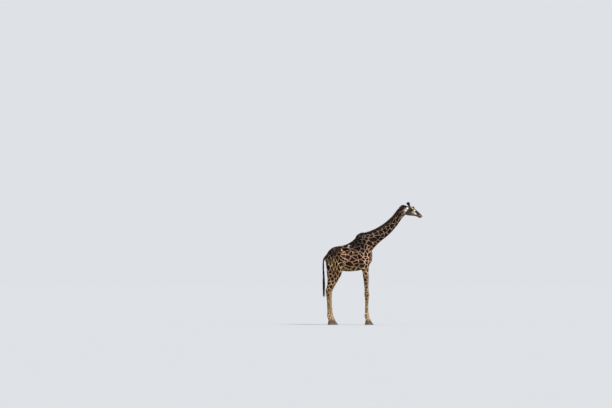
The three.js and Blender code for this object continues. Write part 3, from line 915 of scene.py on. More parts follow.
FACE_BLOTS = (
    Blot((0.03, 0.10, 0.060), (0.09, 0.09, 0.060), (0.150, 0.060, 0.036), 0.8, 0.9),  # occiput
    Blot((0.075, 0.09, -0.155), (0.075, 0.09, 0.060), (0.320, 0.275, 0.245), 0.9, 0.8),  # jaw's angle
    Blot((0.020, 0.09, -0.048), (0.036, 0.08, 0.034), (0.260, 0.235, 0.205), 0.8, 0.5),  # below the ear
    Blot((0.055, 0.10, 0.028), (0.038, 0.08, 0.022), (0.480, 0.380, 0.300), 0.85, 0.3),  # beside the ear
    Blot((0.112, 0.10, 0.032), (0.044, 0.08, 0.036), CREAM, 1.0, 0.0),  # in front of the ear
    Blot((0.092, 0.11, -0.050), (0.056, 0.08, 0.040), (0.980, 0.975, 0.950), 1.0, 0.0),  # behind the cheek
    Blot((0.108, 0.10, -0.010), (0.026, 0.08, 0.036), (0.640, 0.570, 0.470), 0.7, 0.0),  # between the two
    Blot((0.152, 0.10, -0.085), (0.024, 0.09, 0.070), DARK_FACE, 0.95, 0.0, 8.0),  # chewing muscle's edge
    Blot((0.200, 0.10, -0.030), (0.034, 0.09, 0.060), (0.036, 0.034, 0.022), 0.9, 0.0, 8.0),  # its middle
    Blot((0.180, 0.10, 0.045), (0.034, 0.09, 0.040), (0.026, 0.017, 0.016), 0.9, 0.0),  # temple
    Blot((0.268, 0.10, -0.030), (0.050, 0.09, 0.026), (0.036, 0.030, 0.028), 0.9, 0.0),  # below the eye
    Blot((0.330, 0.08, -0.056), (0.060, 0.08, 0.026), (0.170, 0.130, 0.125), 0.85, 0.0, -8.0),  # cheek
    Blot((0.290, 0.08, -0.118), (0.090, 0.08, 0.034), (0.095, 0.074, 0.036), 0.9, 0.0, -12.0),  # jaw
    Blot((0.225, 0.07, -0.150), (0.030, 0.08, 0.022), (0.210, 0.100, 0.070), 0.6, 0.0),  # below its angle
    Blot((0.405, 0.06, -0.080), (0.070, 0.08, 0.030), (0.170, 0.135, 0.105), 0.85, 0.0, -10.0),  # its front
    Blot((0.212, 0.00, 0.132), (0.058, 0.09, 0.040), (0.460, 0.255, 0.190), 0.90, 0.0),  # forehead's bump
    Blot((0.170, 0.08, 0.104), (0.032, 0.09, 0.034), (0.080, 0.034, 0.028), 0.85, 0.0),  # horn's front
    Blot((0.272, 0.00, 0.164), (0.072, 0.09, 0.034), (0.026, 0.014, 0.011), 0.95, 0.0, -26.0),  # bump's rim
    Blot((0.278, 0.09, 0.103), (0.034, 0.05, 0.020), (0.660, 0.600, 0.420), 0.95, 0.0),  # above the eye
    Blot((0.364, 0.08, 0.066), (0.034, 0.05, 0.026), CREAM, 1.0, 0.0, -14.0),  # in front of the eye
    Blot((0.500, 0.00, 0.078), (0.110, 0.050, 0.026), (0.110, 0.062, 0.050), 0.90, 0.0, -19.0),  # nose
    Blot((0.385, 0.00, 0.116), (0.110, 0.056, 0.032), (0.030, 0.015, 0.012), 0.95, 0.0, -19.0),  # its top
    Blot((0.610, 0.00, 0.028), (0.065, 0.075, 0.040), (0.250, 0.180, 0.165), 0.9, 0.0, -20.0),  # muzzle
    Blot((0.672, 0.00, 0.000), (0.034, 0.075, 0.026), (0.500, 0.330, 0.240), 0.75, 0.0),  # its tip
    Blot((0.515, 0.00, -0.052), (0.050, 0.080, 0.032), (0.115, 0.115, 0.120), 0.85, 0.0),  # painted shadow under the chin, grey-blue
    Blot((0.612, 0.00, -0.060), (0.056, 0.080, 0.028), (0.034, 0.016, 0.012), 0.95, 0.0),  # lower lip
    Blot((0.055, 0.12, 0.090), (0.085, 0.14, 0.032), (0.008, 0.006, 0.005), 0.95, 0.0, 25.0),  # ear's foot
    Blot((0.286, 0.10, 0.055), (0.052, 0.05, 0.032), (0.006, 0.0045, 0.004), 1.0, 0.0, 14.0),  # eye's ring
)
FACE_LINES = (  # path, half width, colour, in the head's frame
    (((0.315, 0.07, 0.006), (0.375, 0.06, -0.005), (0.445, 0.05, -0.015)), 0.023, (0.900, 0.730, 0.640)),
    (((0.405, 0.06, 0.052), (0.49, 0.055, 0.030), (0.575, 0.05, 0.022)), 0.017, (0.026, 0.011, 0.008)),
    (((0.290, 0.09, 0.055), (0.305, 0.09, 0.080), (0.322, 0.075, 0.112)), 0.014, (0.010, 0.007, 0.006)),
    (((0.545, 0.05, -0.022), (0.60, 0.05, -0.016), (0.668, 0.03, -0.012)), 0.013, (0.480, 0.270, 0.140)),
    (MOUTH, 0.0045, (0.018, 0.009, 0.008)),
)
THROAT = (
    (0.70, 0.0, 2.33), (0.84, 0.0, 2.55), (1.04, 0.0, 2.76), (1.26, 0.0, 2.93), (1.46, 0.0, 3.13),
    (1.63, 0.0, 3.33), (1.77, 0.0, 3.53), (1.88, 0.0, 3.66),
)
NAPE = (
    (0.25, 0.0, 2.94), (0.33, 0.0, 2.975), (0.43, 0.0, 3.01), (0.64, 0.0, 3.06), (0.86, 0.0, 3.14),
    (1.08, 0.0, 3.26), (1.29, 0.0, 3.38), (1.48, 0.0, 3.55), (1.64, 0.0, 3.73), (1.76, 0.0, 3.87),
    (1.86, 0.0, 3.944), (1.95, -0.01, 3.970),
)


def swayed(places: Array, far: float, pitch: float) -> Array:
    """Moves places to and fro, so that what is drawn by them gets uneven edges.

    Args:
        places: The places.
        far: How far they move.
        pitch: How far apart the waves are.

    Returns:
        The moved places.
    """
    moved = places
    for far_now, pitch_now in ((far, pitch), (0.5 * far, pitch / 2.7)):
        turn = moved * (math.tau / pitch_now)
        a = np.sin(turn @ np.array([0.9, 0.2, 0.5]) + 1.6 * np.sin(turn @ np.array([-0.3, 0.4, 0.7])))
        b = np.sin(turn @ np.array([-0.5, 0.3, 0.8]) + 1.4 * np.sin(turn @ np.array([0.7, 0.1, -0.4]) + 2.0))
        moved = moved + far_now * np.column_stack([a, np.zeros(len(a)), b])
    return moved


@dataclass(frozen=True)
class Lens:
    """A place where the pattern is drawn finer along the body or up it, seen from the side."""

    centre: tuple[float, float]
    reach: tuple[float, float]
    finer: tuple[float, float]

    def move(self, x: Array, z: Array) -> tuple[Array, Array]:
        """Moves places apart in the pattern's sheet.

        Args:
            x: How far along each place is.
            z: How high it is.

        Returns:
            The places' new X and Z.
        """
        along, up = x - self.centre[0], z - self.centre[1]
        near = np.exp(-((along / self.reach[0]) ** 2 + (up / self.reach[1]) ** 2) / 2.0)
        return x + self.finer[0] * along * near, z + self.finer[1] * up * near


LENSES = (
    Lens((-0.45, 2.08), (0.20, 0.32), (1.25, -0.25)),  # thigh
    Lens((0.50, 2.72), (0.18, 0.30), (0.60, -0.22)),  # shoulder
    Lens((0.66, 2.22), (0.13, 0.18), (0.45, 0.40)),  # chest
)


@dataclass
class Markings:
    """Where the patches, the lines between them and the face's colours go, as values at any place.

    The patches lie on a flat sheet that is unrolled from each side: U runs up the animal from rump to head, V
    runs down from the top line, to one side for the left and to the other for the right, so they meet along
    the back.
    """

    skin: Array
    cells: float = 6.4
    slope: float = 28.0
    neck_start: float = 2.1
    neck_growth: float = 0.14
    leg_top: float = 1.80
    leg_growth: float = 0.62
    fore_leg_x: float = 0.60
    hind_leg_x: float = -0.62
    step: float = 0.05
    reach: float = 0.04

    def __post_init__(self) -> None:
        """Measures the top line, the bottom line and the half width along the sheet."""
        x, y, z = ANATOMY.standing(self.skin).T
        u, w = turned(x, z, self.slope)
        flesh = (np.abs(y) < 0.012) & (x > -0.76)
        bulk = (z > 2.0) & (ANATOMY.head(self.skin)[:, 0] < 0.0) & (x > -0.76)
        self.steps = np.arange(0.40, 3.75, self.step)
        measured = []
        for step in self.steps:
            here = np.abs(u - step) < self.reach
            near, wide = flesh & here, bulk & here
            half = np.abs(y[wide]).max() if wide.any() else 0.10
            measured.append((w[near].max(), w[near].min(), half) if near.any() else (np.nan, np.nan, half))
        table = np.array(measured)
        for column in table.T:
            known = ~np.isnan(column)
            column[~known] = np.interp(self.steps[~known], self.steps[known], column[known])
            column[1:-1] = (column[:-2] + column[1:-1] + column[2:]) / 3.0
        self.top, self.bottom, self.half = table.T

    def sheet(self, places: Array) -> tuple[Array, Array, Array]:
        """Unrolls places on to the sheet.

        Args:
            places: Places of the frame.

        Returns:
            Each place's U and V, in metres on the trunk, and its U without the legs' growth.
        """
        x, y, z = ANATOMY.standing(places).T
        flat, low = turned(x, z, self.slope)
        top, bottom, half = (np.interp(flat, self.steps, line) for line in (self.top, self.bottom, self.half))
        deep = np.clip(half - np.abs(y), 0.0, None)
        leg = rise(1.95, 1.70, z) * (x > -0.79)
        axis = np.where(x > 0, self.fore_leg_x, self.hind_leg_x)
        ahead = np.clip((x - ANATOMY.leg_middle(x, z)) / 0.06, -1.0, 1.0)
        round_leg = ahead * np.clip(0.25 - np.abs(y), 0.0, 0.14)
        front = rise(0.52, 0.76, x) * rise(2.75, 2.45, z) - rise(-0.50, -0.78, x)
        x = x + leg * round_leg + (1.0 - leg) * front * deep
        for lens in LENSES:
            x, z = lens.move(x, z)
        down = np.clip(self.leg_top - z, 0.0, None)
        x = axis + (x - axis) * (1.0 + self.leg_growth * down)
        z = z - self.leg_growth * down * down / 2.0
        u, w = turned(x, z, self.slope)
        over = np.sin(np.clip((2.0 * low - top - bottom) / (top - bottom), -1.0, 1.0) * math.pi / 2.0)
        return u, top + half - w - (1.0 - leg) * over * deep, flat

    def spots(self, places: Array) -> Array:
        """Gives the sheet that the patches are drawn on, with one patch to a unit, smaller up the neck.

        Args:
            places: Places of the frame.

        Returns:
            The sheet's places, of shape (n, 3), with 0 as their third part.
        """
        u, v, flat = self.sheet(places)
        beyond = np.clip(u - self.neck_start, 0.0, None)
        finer = 1.0 + self.neck_growth * np.clip(flat - self.neck_start, 0.0, None)
        side = np.where(places[:, 1] < 0.0, -1.0, 1.0)
        along = u + self.neck_growth * beyond * beyond / 2.0
        return self.cells * np.column_stack([along, side * v * finer, np.zeros(len(u))])

    @staticmethod
    def zones(places: Array) -> tuple[Array, Array]:
        """Gives how the patches look from region to region.

        Args:
            places: Places of the frame.

        Returns:
            How dark the patches are, 0 to 1, and how wide the lines are, as a factor.
        """
        x, _, z = ANATOMY.standing(places).T
        head = ANATOMY.head(places)
        shoulder = np.exp(-bell(x, 0.28, 0.34) - bell(z, 2.76, 0.34))
        rump = np.exp(-bell(x, -0.50, 0.30) - bell(z, 2.60, 0.24))
        thigh = np.exp(-bell(x, -0.45, 0.22) - bell(z, 2.08, 0.30))
        leg = rise(1.8, 1.0, z)
        neck = rise(0.60, 1.0, x) * rise(2.6, 2.9, z)
        dark = 0.55 + 0.50 * shoulder + 0.45 * rump + 0.30 * rise(2.9, 3.3, z) - 0.25 * leg
        width = 0.71 - 0.40 * shoulder - 0.44 * rump - 0.38 * thigh - 0.30 * neck + 0.46 * leg
        width = np.clip(width, 0.26, None) + 0.7 * rise(1.0, 0.25, z)
        on_head = rise(0.0, 0.12, head[:, 0]) * aloft(z)
        return np.clip(dark, 0.0, 1.0), width + on_head * (1.1 - width)

    def tones(self, places: Array) -> Array:
        """Gives the ground's colour and how strongly the patches show on it.

        Args:
            places: Places of the frame.

        Returns:
            The colours with the patches' strength as their fourth part, of shape (n, 4).
        """
        body = mirrored(ANATOMY.standing(places))
        x, y, z = body.T
        layers = (  # from the neck down, then the insides of the legs, the throat and the nape
            ((0.360, 0.258, 0.192, 1.0), rise(2.7, 3.1, z)),
            ((0.460, 0.305, 0.155, 1.0), rise(2.0, 1.3, z)),
            ((0.500, 0.350, 0.200, 0.85), rise(1.0, 0.35, z)),
            ((0.500, 0.350, 0.210, 0.05), 0.95 * (rise(0.17, 0.11, y) * rise(1.95, 1.75, z))),
            # the throat's orange band: partly the neck's paler underside, partly painted light on the throat's
            # lit edge
            ((0.520, 0.270, 0.110, 0.9), rise(0.09, 0.02, distance_to_path(body, THROAT))),
            ((0.120, 0.052, 0.030, 0.9), rise(0.09, 0.03, distance_to_path(body, NAPE))),
        )
        tone = np.tile(np.array([*LINE_TAN, 1.0]), (len(places), 1))
        for over, share in layers:
            tone = laid_over(tone, over, share)
        uneven = swayed(body, 0.022, 0.23)
        for blot in BODY_BLOTS:
            tone = laid_over(tone, (*blot.colour, blot.patches), blot.share(uneven))
        for path, reach, colour, strength, patches in STREAKS:
            away = distance_to_path(side_on(uneven), [(at, 0.0, up) for at, up in path])
            share = strength * rise(0.06, 0.10, y) * rise(1.3 * reach, 0.5 * reach, away)
            tone = laid_over(tone, (*colour, patches), share)
        tone = self.on_face(tone, places)
        # painted shade: the tail below its top is darkened, as the dock looks in shade
        tail = rise(-0.76, -0.80, x) * rise(0.09, 0.06, y) * rise(2.40, 2.25, z)
        tone = laid_over(tone, (0.030, 0.019, 0.015, 0.8), tail)
        apart = rise(0.030, 0.012, y) * rise(0.10, 0.30, self.sheet(places)[1]) * (x > -0.76)
        tone[:, 3] *= 1.0 - apart
        return tone

    @staticmethod
    def on_face(tone: Array, places: Array) -> Array:
        """Lays the face's, the ears' and the horns' colours over the body's, with a painted shadow under the
        chin and partly painted shade on the ears.

        Args:
            tone: The body's colours.
            places: Places of the frame.

        Returns:
            The colours of all.
        """
        head = mirrored(ANATOMY.head(places))
        behind = 0.5 * np.clip(-0.10 - head[:, 2], 0.0, 0.2)
        face = np.tile(np.array([0.058, 0.041, 0.034, 0.25]), (len(places), 1))
        uneven = swayed(head, 0.0065, 0.055)
        for blot in FACE_BLOTS:
            face = laid_over(face, (*blot.colour, blot.patches), blot.share(uneven))
        for path, reach, colour in FACE_LINES:
            away = distance_to_path(head if path is MOUTH else uneven, path)
            face = laid_over(face, (*colour, 0.0), rise(1.5 * reach, 0.4 * reach, away))
        face = laid_over(face, (0.006, 0.004, 0.004, 0.0), rise(0.0125, 0.0040, from_nostril(head)))
        horn = horn_share(head)
        tone = laid_over(tone, face, rise(-0.03, 0.07, head[:, 0] - behind) * aloft(places[:, 2]))
        tone = laid_over(tone, (0.045, 0.028, 0.021, 0.0), horn)
        tone = laid_over(tone, (0.006, 0.0045, 0.004, 0.0), horn * rise(0.120, 0.160, head[:, 2]))
        # the ears near-black: partly their own dark hair, partly painted shade
        return laid_over(tone, (0.009, 0.006, 0.005, 0.0), ear_share(head))

    def write(self, mesh: Mesh, places: Array, shade: Array, each: int = 1) -> None:
        """Writes the markings at a mesh's vertices.

        Args:
            mesh: The mesh.
            places: Where the markings are read.
            shade: The hair's shade at each vertex, 0 to 1.
            each: How many vertices in a row share one of the places.
        """
        dark, width = self.zones(places)
        zone = np.column_stack([np.repeat(dark, each), np.repeat(width, each), shade])
        carry(mesh, "spot", np.repeat(self.spots(places), each, axis=0))
        carry(mesh, "tone", np.repeat(self.tones(places), each, axis=0))
        carry(mesh, "zone", zone)


# ---------------------------------------------------------------- finishes
class Nodes:
    """A material's node tree, with short ways to add nodes to it."""

    def __init__(self, name: str) -> None:
        """Makes the material and clears its tree.

        Args:
            name: The material's name.
        """
        self.material = bpy.data.materials.new(name)
        self.material.use_nodes = True
        self.tree = self.material.node_tree
        self.tree.nodes.clear()

    def put(self, socket: NodeSocket, value: object) -> None:
        """Links a socket to another, or sets its value.

        Args:
            socket: The input.
            value: An output, or a number, colour or vector.
        """
        if isinstance(value, NodeSocket):
            self.tree.links.new(value, socket)
        else:
            socket.default_value = value

    def add(self, kind: str, inputs: Optional[dict] = None, **settings: object) -> Node:
        """Adds a node.

        Args:
            kind: The node's type, without its prefix.
            inputs: Values or sockets for its inputs, by name or number.
            settings: Its settings by name.

        Returns:
            The node.
        """
        node = self.tree.nodes.new(f"ShaderNode{kind}")
        for name, value in settings.items():
            setattr(node, name, value)
        for name, value in (inputs or {}).items():
            self.put(node.inputs[name], value)
        return node

    def maths(self, operation: str, first: object, second: object = 0.0, clamp: bool = False) -> NodeSocket:
        """Adds a Math node and gives its value."""
        return self.add("Math", {0: first, 1: second}, operation=operation, use_clamp=clamp).outputs[0]

    def times(self, first: object, second: object) -> NodeSocket:
        """Multiplies two values."""
        return self.maths("MULTIPLY", first, second)

    def plus(self, first: object, second: object) -> NodeSocket:
        """Adds two values."""
        return self.maths("ADD", first, second)

    def along(self, operation: str, first: object, second: object) -> NodeSocket:
        """Adds a Vector Math node and gives its vector."""
        return self.add("VectorMath", {0: first, 1: second}, operation=operation).outputs[0]

    def attribute(self, name: str) -> Node:
        """Adds a node that reads a value which the mesh carries."""
        return self.add("Attribute", attribute_name=name)

    def parts(self, vector: object) -> Sequence[NodeSocket]:
        """Splits a vector."""
        return self.add("SeparateXYZ", {0: vector}).outputs

    def place(self) -> NodeSocket:
        """Gives the place in the object."""
        return self.add("TexCoord").outputs["Object"]

    def step(self, low: object, high: object, value: object) -> NodeSocket:
        """Gives a smooth step from 0 at low to 1 at high."""
        inputs = {"Value": value, "From Min": low, "From Max": high}
        return self.add("MapRange", inputs, interpolation_type="SMOOTHSTEP").outputs["Result"]

    def mix(self, share: object, first: object, second: object, blend: str = "MIX") -> NodeSocket:
        """Mixes two colours.

        Args:
            share: The second one's share.
            first: A colour of three parts, or a socket.
            second: Another.
            blend: How they mix.

        Returns:
            The result.
        """
        node = self.add("Mix", {0: share}, data_type="RGBA", blend_type=blend)
        for number, value in ((6, first), (7, second)):
            self.put(node.inputs[number], (*value, 1.0) if isinstance(value, tuple) else value)
        return node.outputs[2]

    def lit(self, colour: object, light: object) -> NodeSocket:
        """Makes a colour lighter or darker by a factor."""
        grey = self.add("CombineXYZ", {0: light, 1: light, 2: light}).outputs[0]
        return self.mix(1.0, colour, grey, "MULTIPLY")

    def noise(self, place: object, scale: float, detail: float = 2.0, roughness: float = 0.5) -> Node:
        """Adds a Noise node at some scale."""
        inputs = {"Vector": place, "Scale": scale, "Detail": detail, "Roughness": roughness}
        return self.add("TexNoise", inputs)

    def grain(self, place: object, scale: float, detail: float = 2.0, roughness: float = 0.5) -> NodeSocket:
        """Gives a noise's value."""
        return self.noise(place, scale, detail, roughness).outputs["Fac"]

    def finish(self, colour: object, roughness: object, bump: Optional[object] = None, strength: float = 0.4,
               height: float = 0.001, **fixed: object) -> Material:
        """Adds the shader and the output.

        Args:
            colour: The base colour.
            roughness: The roughness.
            bump: A height for a Bump node, if any.
            strength: The bump's strength.
            height: The bump's distance, in metres.
            fixed: Values set on the shader's own sockets, by name with _ for spaces.

        Returns:
            The material.
        """
        shader = self.add("BsdfPrincipled", {"Base Color": colour, "Roughness": roughness})
        for name, value in fixed.items():
            shader.inputs[name.replace("_", " ")].default_value = value
        if bump is not None:
            made = self.add("Bump", {"Height": bump, "Strength": strength, "Distance": height})
            self.tree.links.new(made.outputs["Normal"], shader.inputs["Normal"])
        output = self.add("OutputMaterial")
        self.tree.links.new(shader.outputs["BSDF"], output.inputs["Surface"])
        return self.material


@dataclass(frozen=True)
class Hide:
    """The hide's and the coat's finish: jagged dark patches, parted by narrow pale lines, under short hair."""

    line: float = 0.080
    black: Colour = DARK_HAIR
    brown: Colour = (0.024, 0.0105, 0.0064)
    warp: float = 0.60
    jag: float = 0.15
    leaf: float = 2.1

    def build(self) -> Material:
        """Makes the material.

        Returns:
            The material.
        """
        n = Nodes("hide")
        tone = n.attribute("tone")
        dark, width, shade = n.parts(n.attribute("zone").outputs["Vector"])
        patch, warm = self.patches(n, n.attribute("spot").outputs["Vector"], width)
        patch = n.times(patch, tone.outputs["Alpha"])
        place = n.place()
        mottle = n.grain(place, 22.0, 4.0, 0.6)
        hairs = self.hairs(n, place)
        paler = n.maths("MULTIPLY", warm, n.maths("SUBTRACT", 1.05, dark), clamp=True)
        hue = n.mix(paler, self.black, self.brown)
        worn = n.step(0.34, 0.66, n.grain(place, 9.0, 4.0, 0.65))
        low = n.mix(tone.outputs["Alpha"], (0.84, 0.83, 0.82), (0.50, 0.47, 0.44))
        uneven = n.mix(worn, low, (1.25, 1.24, 1.22))
        ground = n.mix(1.0, tone.outputs["Color"], uneven, "MULTIPLY")
        light = n.plus(n.plus(n.times(hairs, 0.30), n.times(shade, 0.34)), 0.68)
        colour = n.lit(n.mix(patch, ground, hue), light)
        rough = n.plus(n.times(hairs, 0.16), 0.54)
        height = n.plus(hairs, n.times(mottle, 0.8))
        return n.finish(colour, rough, height, 0.30, 0.0012, Specular_IOR_Level=0.03)

    def patches(self, n: Nodes, spot: object, width: object) -> tuple[object, object]:
        """Adds the patches: cells with lobed, jagged edges and cuts that run in from them.

        Args:
            n: The tree.
            spot: The patches' sheet.
            width: How wide the lines are, as a factor.

        Returns:
            Whether a place is in a patch, and how brown the patch is there.
        """
        bent = spot
        for noise, far in ((n.noise(spot, 0.85, 2.0), self.warp), (n.noise(spot, 4.6, 3.0, 0.6), self.jag)):
            sway = n.along("SUBTRACT", noise.outputs["Color"], (0.5, 0.5, 0.5))
            bent = n.along("ADD", bent, n.along("MULTIPLY", sway, (far,) * 3))
        cells = {"Vector": bent, "Scale": 1.0, "Randomness": 0.88}
        leaves = {"Vector": bent, "Scale": self.leaf}
        edge = self.voronoi(n, cells, "DISTANCE_TO_EDGE").outputs["Distance"]
        lobe = self.voronoi(n, leaves, "DISTANCE_TO_EDGE").outputs["Distance"]
        cell = self.voronoi(n, cells, "F1").outputs["Color"]
        line = n.times(width, self.line)
        patch = n.step(n.times(line, 0.82), n.times(line, 1.22), edge)
        cut = n.maths("SUBTRACT", 1.0, n.step(0.02, 0.075, lobe))
        rim = n.maths("SUBTRACT", 1.0, n.step(n.plus(line, 0.05), n.plus(line, 0.20), edge))
        patch = n.maths("SUBTRACT", patch, n.times(n.times(cut, rim), 0.75), clamp=True)
        chance = n.add("SeparateColor", {0: cell}).outputs[0]
        inner = n.times(n.step(0.16, 0.42, edge), n.step(0.15, 0.85, chance))
        fringe = n.maths("SUBTRACT", 1.0, n.step(line, n.plus(line, 0.07), edge))
        return patch, n.maths("MAXIMUM", n.times(inner, 1.5), n.times(fringe, 0.9))

    @staticmethod
    def voronoi(n: Nodes, inputs: dict, feature: str) -> Node:
        """Adds a flat Voronoi node."""
        return n.add("TexVoronoi", inputs, feature=feature, voronoi_dimensions="2D")

    @staticmethod
    def hairs(n: Nodes, place: object) -> NodeSocket:
        """Adds fine streaks that run mostly down the body, as short hair does."""
        fine = n.along("MULTIPLY", place, (420.0, 420.0, 70.0))
        return n.step(0.25, 0.75, n.grain(fine, 1.0, 2.0, 0.6))


@dataclass(frozen=True)
class HairFinish:
    """A finish for long hair, darker or lighter from root to tip."""

    name: str
    root: Colour
    tip: Colour
    turn: float = 0.5
    rough: float = 0.5

    def build(self) -> Material:
        """Makes the material, which reads how far along the hair a place is, and the hair's chance number.

        Returns:
            The material.
        """
        n = Nodes(self.name)
        along, chance, _ = n.parts(n.attribute("lock").outputs["Vector"])
        share = n.step(self.turn - 0.35, self.turn + 0.35, n.plus(along, n.times(chance, 0.2)))
        fine = n.grain(n.along("MULTIPLY", n.place(), (500.0, 500.0, 120.0)), 1.0)
        light = n.plus(n.times(chance, 0.7), n.plus(n.times(fine, 0.5), 0.4))
        colour = n.lit(n.mix(share, self.root, self.tip), light)
        rough = n.plus(n.times(fine, 0.2), self.rough - 0.1)
        return n.finish(colour, rough, fine, 0.25, 0.0006, Specular_IOR_Level=0.2, Sheen_Weight=0.04,
                        Sheen_Roughness=0.4)


@dataclass(frozen=True)
class HoofFinish:
    """Horn of the hooves: growth rings across, fine fibres down, dust at the foot."""

    dark: Colour = (0.026, 0.019, 0.014)
    pale: Colour = (0.090, 0.066, 0.045)
    dust: Colour = (0.27, 0.20, 0.13)
    rings: float = 62.0

    def build(self) -> Material:
        """Makes the material.

        Returns:
            The material.
        """
        n = Nodes("hoof_horn")
        place = n.place()
        height = n.parts(place)[2]
        phase = n.plus(n.times(height, self.rings * math.tau), n.times(n.grain(place, 14.0), 7.0))
        ring = n.plus(n.times(n.maths("SINE", phase), 0.5), 0.5)
        fibre = n.grain(n.along("MULTIPLY", place, (380.0, 380.0, 22.0)), 1.0, 3.0)
        grey = n.mix(n.step(0.35, 0.75, fibre), self.dark, self.pale)
        colour = n.mix(n.times(n.step(0.05, 0.0, height), n.grain(place, 60.0, 4.0)), grey, self.dust)
        bump = n.plus(n.times(ring, 0.28), n.times(fibre, 0.55))
        rough = n.plus(n.times(fibre, 0.25), 0.38)
        return n.finish(colour, rough, bump, 0.5, 0.0012, Specular_IOR_Level=0.45)


@dataclass(frozen=True)
class EyeFinish:
    """The eyeball: a wide level pupil in a dark brown iris, a little white at the corners, all wet."""

    pupil: Colour = (0.002, 0.002, 0.003)
    iris: Colour = (0.012, 0.006, 0.003)
    pale_iris: Colour = (0.026, 0.013, 0.007)
    white: Colour = (0.110, 0.080, 0.062)
    pupil_width: float = 0.46
    pupil_height: float = 0.24

    def build(self) -> Material:
        """Makes the material, which reads the directions in the ball's own frame.

        Returns:
            The material.
        """
        n = Nodes("eye_wet")
        look = n.attribute("look").outputs["Vector"]
        u, v, _ = n.parts(look)
        wide, tall = n.maths("DIVIDE", u, self.pupil_width), n.maths("DIVIDE", v, self.pupil_height)
        around = n.maths("SQRT", n.plus(n.times(u, u), n.times(v, v)))
        slot = n.maths("SQRT", n.plus(n.times(wide, wide), n.times(tall, tall)))
        rays = n.grain(look, 9.0, 3.0)
        colour = n.mix(n.step(0.85, 1.05, slot), self.pupil, n.mix(rays, self.iris, self.pale_iris))
        colour = n.mix(n.step(0.70, 0.80, around), colour, self.white)
        return n.finish(colour, n.plus(n.times(rays, 0.04), 0.02), Specular_IOR_Level=0.25)


# ---------------------------------------------------------------- the short coat
def piece(name: str, places: Array, faces: Array, finish: Material) -> Object:
    """Makes a smooth piece from triangles.

    Args:
        name: Its name.
        places: Its vertices, of shape (n, 3).
        faces: Its triangles, of shape (m, 3).
        finish: Its material.

    Returns:
        The piece.
    """
    mesh = bpy.data.meshes.new(name)
    mesh.vertices.add(len(places))
    mesh.vertices.foreach_set("co", places.astype(np.float32).ravel())
    mesh.loops.add(faces.size)
    mesh.loops.foreach_set("vertex_index", faces.astype(np.int32).ravel())
    mesh.polygons.add(len(faces))
    mesh.polygons.foreach_set("loop_start", np.arange(0, faces.size, 3, dtype=np.int32))
    mesh.update(calc_edges=True)
    mesh.validate()
    made = bpy.data.objects.new(name, mesh)
    bpy.context.scene.collection.objects.link(made)
    return settle(made, finish)


@dataclass
class Ground:
    """The skin's triangles, from which hair grows."""

    places: Array
    normals: Array
    faces: Array

    @classmethod
    def of(cls, mesh: Mesh) -> "Ground":
        """Reads a mesh."""
        return cls(positions(mesh), normals(mesh), triangles(mesh))

    def corners(self) -> tuple[Array, ...]:
        """Gives the triangles' first, second and third corners."""
        return tuple(self.places[self.faces[:, corner]] for corner in range(3))

    def middles(self) -> Array:
        """Gives the middle of each triangle."""
        return self.places[self.faces].mean(axis=1)

    def sow(self, weights: Array, count: int, dice: RandomState) -> tuple[Array, Array]:
        """Picks random places on the skin.

        Args:
            weights: How densely each triangle is sown, for its area.
            count: How many places.
            dice: The source of chance.

        Returns:
            The places and the skin's normals there.
        """
        a, b, c = self.corners()
        summed = np.cumsum(lengths(np.cross(b - a, c - a)) * weights)
        chosen = np.searchsorted(summed, dice.rand(count) * summed[-1])
        u, v = dice.rand(count), dice.rand(count)
        over = u + v > 1.0
        u[over], v[over] = 1.0 - u[over], 1.0 - v[over]
        shares = np.column_stack([1.0 - u - v, u, v])
        corners = self.faces[np.minimum(chosen, len(self.faces) - 1)]
        at, out = (np.einsum("nk,nkd->nd", shares, each[corners]) for each in (self.places, self.normals))
        return at, unit(out)


def lie(places: Array) -> Array:
    """Gives the way that the coat lies at each place, before it is laid on the skin.

    Args:
        places: Places of the frame.

    Returns:
        One direction for each place.
    """
    z = places[:, 2]
    head = ANATOMY.head(places)
    axes = ANATOMY.head_axes()
    way = np.tile(np.array([-0.90, 0.0, -0.42]), (len(places), 1))
    way = laid_over(way, (-0.10, 0.0, -1.0), rise(2.15, 1.65, z))
    way = laid_over(way, (-0.62, 0.0, -0.78), rise(2.75, 3.05, z))
    way = laid_over(way, axes @ np.array([-1.0, 0.0, -0.28]), rise(-0.05, 0.05, head[:, 0]) * aloft(z))
    outward = np.column_stack([np.full(len(z), -0.80), 0.5 * np.sign(head[:, 1]), np.full(len(z), 0.15)])
    way = laid_over(way, outward @ axes.T, ear_share(head))
    return laid_over(way, axes @ np.array([-0.45, 0.0, 0.89]), horn_share(head))


def on_skin(way: Array, out: Array) -> Array:
    """Turns directions until they run along the skin."""
    return unit(way - np.sum(way * out, axis=1)[:, None] * out)


def hair_size(places: Array) -> Array:
    """Gives the length of the coat at each place.

    Args:
        places: Places of the frame.

    Returns:
        The lengths, as shares of the trunk's.
    """
    z = places[:, 2]
    ahead = ANATOMY.head(places)[:, 0]
    size = 1.0 - 0.45 * rise(1.7, 0.6, z) - 0.15 * rise(0.45, 0.15, z)
    on_head = rise(-0.06, 0.06, ahead) * aloft(z)
    size = size + on_head * (0.52 - size)
    return size - on_head * 0.22 * rise(0.40, 0.60, ahead)


